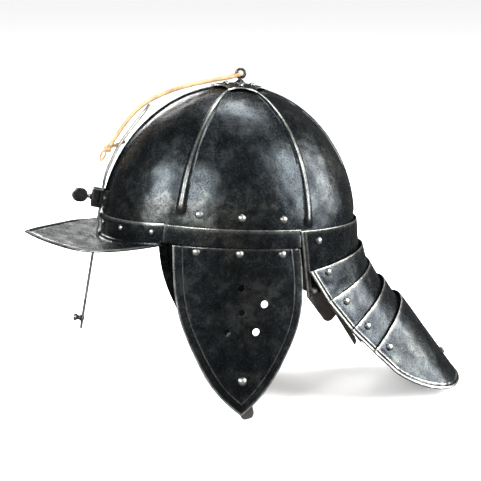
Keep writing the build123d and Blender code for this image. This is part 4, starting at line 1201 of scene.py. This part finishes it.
# ---- leathers ------------------------------------------------------------------------------------------
def strap(outer, inner, edge_distance):
    """Plate of leather with soft edges; edge_distance is each point's distance from its outline."""
    fall = rounded(edge_distance, 0.8)[..., None]
    across = unit(outer - inner)
    shape = plate(outer - across * fall, inner + across * fall)
    wear_and_sheen = np.exp(-edge_distance / 0.8).ravel()
    return shape, np.concatenate([wear_and_sheen, wear_and_sheen])


def make_cheek_leather(side, sign):
    ys = -47.4 + edge_spacing(95.6, 2.2)
    angle_of = np.arccos(-(ys - SKULL_CENTRE_Y) / (SKULL_HALF[1] - 4))
    rows_up, rows_down = np.linspace(32.8, 1.6, 18), np.linspace(-1.6, -13.5, 9)
    layers = []
    for grow in (-1.75, -3.6):
        rows = []
        for height in rows_up:
            point = on_skull(angle_of, rise_at(angle_of, height, grow), grow)[0]
            rows.append(point * np.array([sign, 1, 1]))
        for height in rows_down:
            z = height - ys * math.sin(math.radians(RIM_TILT))
            rows.append(on_cheek(ys, z, grow, sign)[0])
        layers.append(np.array(rows))
    heights = np.concatenate([rows_up, rows_down])
    edge = np.minimum(np.minimum(ys - ys[0], ys[-1] - ys)[None, :],
                      np.minimum(heights[0] - heights, heights - heights[-1])[:, None] + 0 * ys)
    shape, wear_and_sheen = strap(layers[0], layers[1], edge)
    obj = piece(f"cheek_hinge_leather_{side}", shape, None, "dark_leather", [f"cheek_leather_{side}"], wear_and_sheen)
    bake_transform(obj)


def make_chin_strap(side, sign):
    lean = math.radians(13)
    across = edge_spacing(12.6, 1.2, (0, 0.3, 0.8, 1.5))
    along = edge_spacing(49.4, 1.5, (0, 0.3, 0.8, 1.5, 2.5))
    v, u = across[None, :] - 6.3, 24.7 - along[:, None]
    end = np.minimum(24.7 - np.abs(u), 5.5)
    pinch = 0.30 + 0.70 * np.sqrt(np.clip(1 - (1 - end / 5.5) ** 2, 0, 1))
    v = v * pinch
    y = TIP_RIVET[0] + v * math.cos(lean) - u * math.sin(lean)
    z = TIP_RIVET[1] - 10.5 + v * math.sin(lean) + u * math.cos(lean)
    edge = np.minimum(6.3 * pinch - np.abs(v), 24.7 - np.abs(u) + 0 * v)
    outer = on_cheek(y, z, -1.75, sign)[0]
    inner = on_cheek(y, z, -3.55, sign)[0]
    shape, wear_and_sheen = strap(outer, inner, np.maximum(edge, 0))
    piece(f"chin_strap_stub_{side}", shape, f"cheek_{side}", "dark_leather", [f"chin_strap_{side}"], wear_and_sheen)


def lame_strap(number, sign):
    """Side leather inside a lame, from its own rivet to the next one's."""
    turn = sign * PIVOT_TURN
    start, normal = lame_spot(number, turn, PIVOT_DROP[number])
    next_pivot, _ = lame_spot(number + 1, turn, PIVOT_DROP[number + 1])
    drops = np.linspace(0, 70, 141)
    line = np.array([lame_spot(number, turn, d)[0] for d in drops])
    end = line[np.argmin(np.linalg.norm(line - next_pivot, axis=1))]
    run = unit(end - start)
    side = np.cross(normal, run)
    length = np.linalg.norm(end - start)
    along = edge_spacing(length + 8.0, 1.8, (0, 0.3, 0.8, 1.5, 2.5)) - 4.0
    across = edge_spacing(12.0, 1.2, (0, 0.3, 0.8, 1.5)) - 6.0
    tip = np.minimum(along + 4.0, length + 4.0 - along)[:, None]
    pinch = 0.35 + 0.65 * np.sqrt(np.clip(1 - (1 - np.minimum(tip, 5.0) / 5.0) ** 2, 0, 1))
    v = across[None, :] * pinch
    point = start + run * along[:, None, None] + side * v[..., None]
    sag = (v**2) / 170
    edge = np.maximum(np.minimum(6.0 * pinch - np.abs(v), tip + 0 * v), 0)
    outer = point - normal * (LAME_WALL + 0.25 + sag)[..., None]
    inner = point - normal * (LAME_WALL + 1.75 + sag)[..., None]
    return strap(outer, inner, edge)


def under_lame(number, y, z):
    """Turn from the back and drop under the top edge where a lame's own surface has this y and z."""
    turns = np.linspace(30, LAME_SPREAD - 0.4, 240)
    top, low = lame_edges(number, turns)
    run = unit(low - top)
    off = np.stack([y, z], -1)[..., None, :] - top[:, 1:]
    beside = np.abs(off[..., 0] * run[:, 2] - off[..., 1] * run[:, 1]) / np.linalg.norm(run[:, 1:], axis=1)
    best = beside.argmin(-1)
    drop = (off[..., 0] * run[:, 1] + off[..., 1] * run[:, 2]) / (run[:, 1] ** 2 + run[:, 2] ** 2)
    return turns[best], np.take_along_axis(drop, best[..., None], -1)[..., 0]


def neck_flap(number, sign):
    """Leather flap with rounded ends, which shows past the next lame's front border."""
    start, end, wide = (np.array(value) for value in FLAPS[number])
    run = (end - start) / np.linalg.norm(end - start)
    length = np.linalg.norm(end - start) + wide - 0.6
    along = edge_spacing(length, 1.4, (0, 0.3, 0.8, 1.5, 2.5, 3.6)) - length / 2
    half = wide / 2 - 0.3
    across = edge_spacing(2 * half, 1.1, (0, 0.3, 0.8, 1.5)) - half
    from_tip = np.minimum(length / 2 - np.abs(along), half)[:, None]
    pinch = 0.12 + 0.88 * np.sqrt(np.clip(1 - (1 - from_tip / half) ** 2, 0, 1))
    v = across[None, :] * pinch
    middle = (start + end) / 2
    y = middle[0] + along[:, None] * run[0] - v * run[1]
    z = middle[1] + along[:, None] * run[1] + v * run[0]
    turn, drop = under_lame(number, y, z)
    point, normal = lame_spot(number, sign * turn, drop[..., None])
    edge = np.maximum(np.minimum(half * pinch - np.abs(v), length / 2 - np.abs(along)[:, None] + 0 * v), 0)
    return strap(point - normal * (LAME_WALL + 0.25), point - normal * (LAME_WALL + 1.75), edge)


def make_neck_leathers():
    for number in LAMES:
        pair = [lame_strap(number, sign) for sign in (1, -1)]
        if number in FLAPS:
            pair += [neck_flap(number, sign) for sign in (1, -1)]
        shapes, wear_and_sheen_rows = zip(*pair)
        piece(f"neck_strap_{number}", merged(shapes), lame_body(number), "dark_leather",
              [f"neck_leather_{number}"], np.concatenate(wear_and_sheen_rows))


def make_liner():
    angles = np.linspace(0, 2 * math.pi, 241)[:-1]
    across = edge_spacing(34.0, 2.2, (0, 0.3, 0.8, 1.5, 2.6))
    heights = np.broadcast_to(2.0 + across[:, None], (len(across), len(angles)))
    angle = np.broadcast_to(angles, heights.shape)
    crease = dents(on_skull(angle, rise_at(angle, heights))[0], 14.0, 0.45)
    edge = np.minimum(across, 34.0 - across)[:, None] + 0 * angle
    fall = rounded(edge, 0.8)
    outer_point, outer_normal = on_skull(angle, rise_at(angle, heights, -4.15), -4.15)
    inner_point, inner_normal = on_skull(angle, rise_at(angle, heights, -5.8), -5.8)
    outer = outer_point - outer_normal * fall[..., None]
    inner = inner_point + inner_normal * (fall + np.minimum(crease, 0.3))[..., None]
    shapes, wear_and_sheen_rows = [plate(outer, inner, loop=True)], [np.tile(np.exp(-edge / 0.8).ravel(), 2)]
    for k in range(120):
        for level in (4.8, 33.2):
            ends = np.radians([3.0 * k + 0.4, 3.0 * k + 1.9])
            point, normal = on_skull(ends, rise_at(ends, np.full(2, level), -5.9), -5.9)
            middle = point.mean(0) - normal.mean(0) * 0.15
            shape = tube(np.array([point[0], middle, point[1]]), [0.22, 0.42, 0.22], 6)
            shapes.append(shape)
            wear_and_sheen_rows.append(np.full(len(shape[0]), 0.9))
    piece("liner_head_band", merged(shapes), "skull", "liner_leather", ["liner_band"], np.concatenate(wear_and_sheen_rows))


def tongue(k):
    """One of the liner's six tongues, between two slits that narrow towards the crown."""
    a, b, c = (half - 6.4 for half in SKULL_HALF)
    lowest = math.asin(24.0 / c)
    highest = math.acos(17.5 / a)
    rises = lowest + (highest - lowest) * edge_spacing(1.0, 0.035, (0, 0.004, 0.01, 0.02))
    start, end = (math.radians(90 + (k + share) * 60) for share in (0.5, 1.5))
    grids, edges = [], []
    share = edge_spacing(1.0, 0.06, (0, 0.006, 0.015, 0.03))
    for rise in rises:
        ends = []
        for turn, sign in ((start, 1), (end, -1)):
            plan = math.cos(rise) / math.hypot(math.cos(turn) / a, math.sin(turn) / b)
            gap = 0.25 + (1.75 + 10 * (plan - 25) / 95) * float(step_up(40, 52, c * math.sin(rise)))
            ends.append(turn + sign * math.asin(max(gap, 0.25) / plan))
        turns = ends[0] + (ends[1] - ends[0]) * share
        plan = math.cos(rise) / np.hypot(np.cos(turns) / a, np.sin(turns) / b)
        height = c * math.sin(rise) + 0 * turns
        grids.append(np.stack([plan * np.cos(turns), plan * np.sin(turns), height], -1))
        edges.append(np.minimum(share, 1 - share) * (ends[1] - ends[0]) * plan)
    local, edge = np.array(grids), np.array(edges)
    from_end = np.minimum(rises - rises[0], rises[-1] - rises)[:, None] * 110
    edge = np.minimum(edge, from_end)
    normal = unit(local / np.array([a, b, c]) ** 2)
    crease = np.minimum(dents(local, 16.0, 0.5), 0.3)[..., None]
    return strap(from_dome(local), from_dome(local - normal * (1.5 - crease)), edge)


def make_liner_crown():
    made = [tongue(k) for k in range(6)]
    shapes = [shape for shape, _ in made]
    wear_and_sheen_rows = [wear_and_sheen for _, wear_and_sheen in made]
    a, b, c = (half - 7.4 for half in SKULL_HALF)
    turns = np.linspace(0, 2 * math.pi, 145)[:-1]
    ring = 21.0 + 0.5 * np.sin(12 * turns)
    x, y = ring * np.cos(turns), ring * np.sin(turns)
    lift = 0.9 * np.sin(6 * turns) - 0.2
    z = (c + lift) * np.sqrt(1 - (x / a) ** 2 - (y / b) ** 2)
    lace = tube(from_dome(np.stack([x, y, z], -1)), 0.8, 8, closed=True)
    shapes.append(lace)
    wear_and_sheen_rows.append(np.full(len(lace[0]), 0.8))
    piece("liner_tongues", merged(shapes), "skull", "liner_leather", ["liner_crown"], np.concatenate(wear_and_sheen_rows))


# ---- stage and camera ----------------------------------------------------------------------------------
WORLD_LIGHT = 0.10
FLOOR_LIGHT = 2.9
FLOOR_LIGHT_SPREAD = 80.0
LIGHT_DISTANCE = 2.1
LIGHTS = (
    ("front_left", (0.40, -0.82, 0.42), (0.6, 1.0), 62),
    ("left", (0.80, -0.44, 0.40), (0.5, 0.8), 46),
    ("rear_left", (0.45, 0.71, 0.53), (0.6, 1.0), 60),
    ("rear", (0.01, 0.95, 0.31), (0.6, 1.0), 50),
    ("low_rear_left", (0.42, 0.90, 0.12), (0.6, 0.5), 36),
    ("overhead", (-0.16, 0.14, 0.98), (1.2, 0.7), 62),
    ("right", (-0.85, -0.25, 0.45), (0.9, 1.1), 34),
)
VIEW_AZIMUTH_OFF = 7.0
VIEW_ELEVATION = 11.0
VIEW_DISTANCE = 1.55
VIEW_LENS = 126.1
SENSOR = 36.0
FRAME_ACROSS = 481
ORIGIN_OFF_CENTRE = (-13.5 / FRAME_ACROSS, -13.1 / FRAME_ACROSS)


def make_stage():
    floor_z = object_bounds()[0][2] - 0.001
    mesh = bpy.data.meshes.new("floor")
    reach = 9.0
    mesh.from_pydata([(-reach, -reach, floor_z), (reach, -reach, floor_z), (reach, reach, floor_z),
                      (-reach, reach, floor_z)], [], [(0, 1, 2, 3)])
    floor = add_object("floor", mesh)
    pale = bpy.data.materials.new("pale_floor")
    pale.use_nodes = True
    shader = pale.node_tree.nodes["Principled BSDF"]
    shader.inputs["Base Color"].default_value = (0.93, 0.93, 0.93, 1)
    shader.inputs["Roughness"].default_value = 0.9
    mesh.materials.append(pale)
    floor.visible_glossy = False
    world = bpy.data.worlds.new("studio")
    world.use_nodes = True
    tree = world.node_tree
    backdrop = tree.nodes["Background"]
    backdrop.inputs["Color"].default_value = (1.0, 1.0, 1.0, 1)
    seen = tree.nodes.new("ShaderNodeLightPath")
    strength = tree.nodes.new("ShaderNodeMapRange")
    strength.inputs["To Min"].default_value = WORLD_LIGHT
    strength.inputs["To Max"].default_value = 1.0
    tree.links.new(seen.outputs["Is Camera Ray"], strength.inputs["Value"])
    tree.links.new(strength.outputs["Result"], backdrop.inputs["Strength"])
    bpy.context.scene.world = world
    bpy.context.scene.view_settings.view_transform = "Standard"
    even = bpy.data.lights.new("even_floor_light", "SUN")
    even.energy = FLOOR_LIGHT
    even.angle = math.radians(FLOOR_LIGHT_SPREAD)
    add_object("even_floor_light", even).visible_glossy = False
    for name, place, size, power in LIGHTS:
        light = bpy.data.lights.new(name, "AREA")
        light.shape = "RECTANGLE"
        light.size, light.size_y = size
        light.energy = power
        lamp = add_object(name, light)
        lamp.location = Vector(place).normalized() * LIGHT_DISTANCE
        lamp.rotation_euler = (-Vector(place)).to_track_quat("-Z", "Y").to_euler()


def make_camera():
    """Camera square to the left side, a little from the front and above; it is moved, not shifted."""
    a, e = math.radians(VIEW_AZIMUTH_OFF), math.radians(VIEW_ELEVATION)
    back = Vector((math.cos(e) * math.cos(a), -math.cos(e) * math.sin(a), math.sin(e)))
    right = Vector((math.sin(a), math.cos(a), 0))
    up = back.cross(right)
    width = VIEW_DISTANCE * SENSOR / VIEW_LENS
    camera = bpy.data.cameras.new("camera")
    camera.lens = VIEW_LENS
    camera.sensor_width = SENSOR
    camera.clip_end = 100
    holder = add_object("camera", camera)
    off_x, off_y = ORIGIN_OFF_CENTRE
    place = back * VIEW_DISTANCE - right * off_x * width + up * off_y * width
    holder.matrix_world = Matrix.Translation(place) @ Matrix((right, up, back)).transposed().to_4x4()
    bpy.context.scene.camera = holder


# ---- everything ----------------------------------------------------------------------------------------
make_skull()
side_bands()
make_peak()
make_bar()
make_knob()
make_screw()
make_bracket()
make_rivets()
make_crown()
make_eye()
for side, sign in SIDES.items():
    make_cheek(side, sign)
    make_cheek_leather(side, sign)
    make_chin_strap(side, sign)
for number in PIVOT_DROP:
    make_lame(number)
make_thong()
make_neck_leathers()
make_liner()
make_liner_crown()
make_stage()
make_camera()
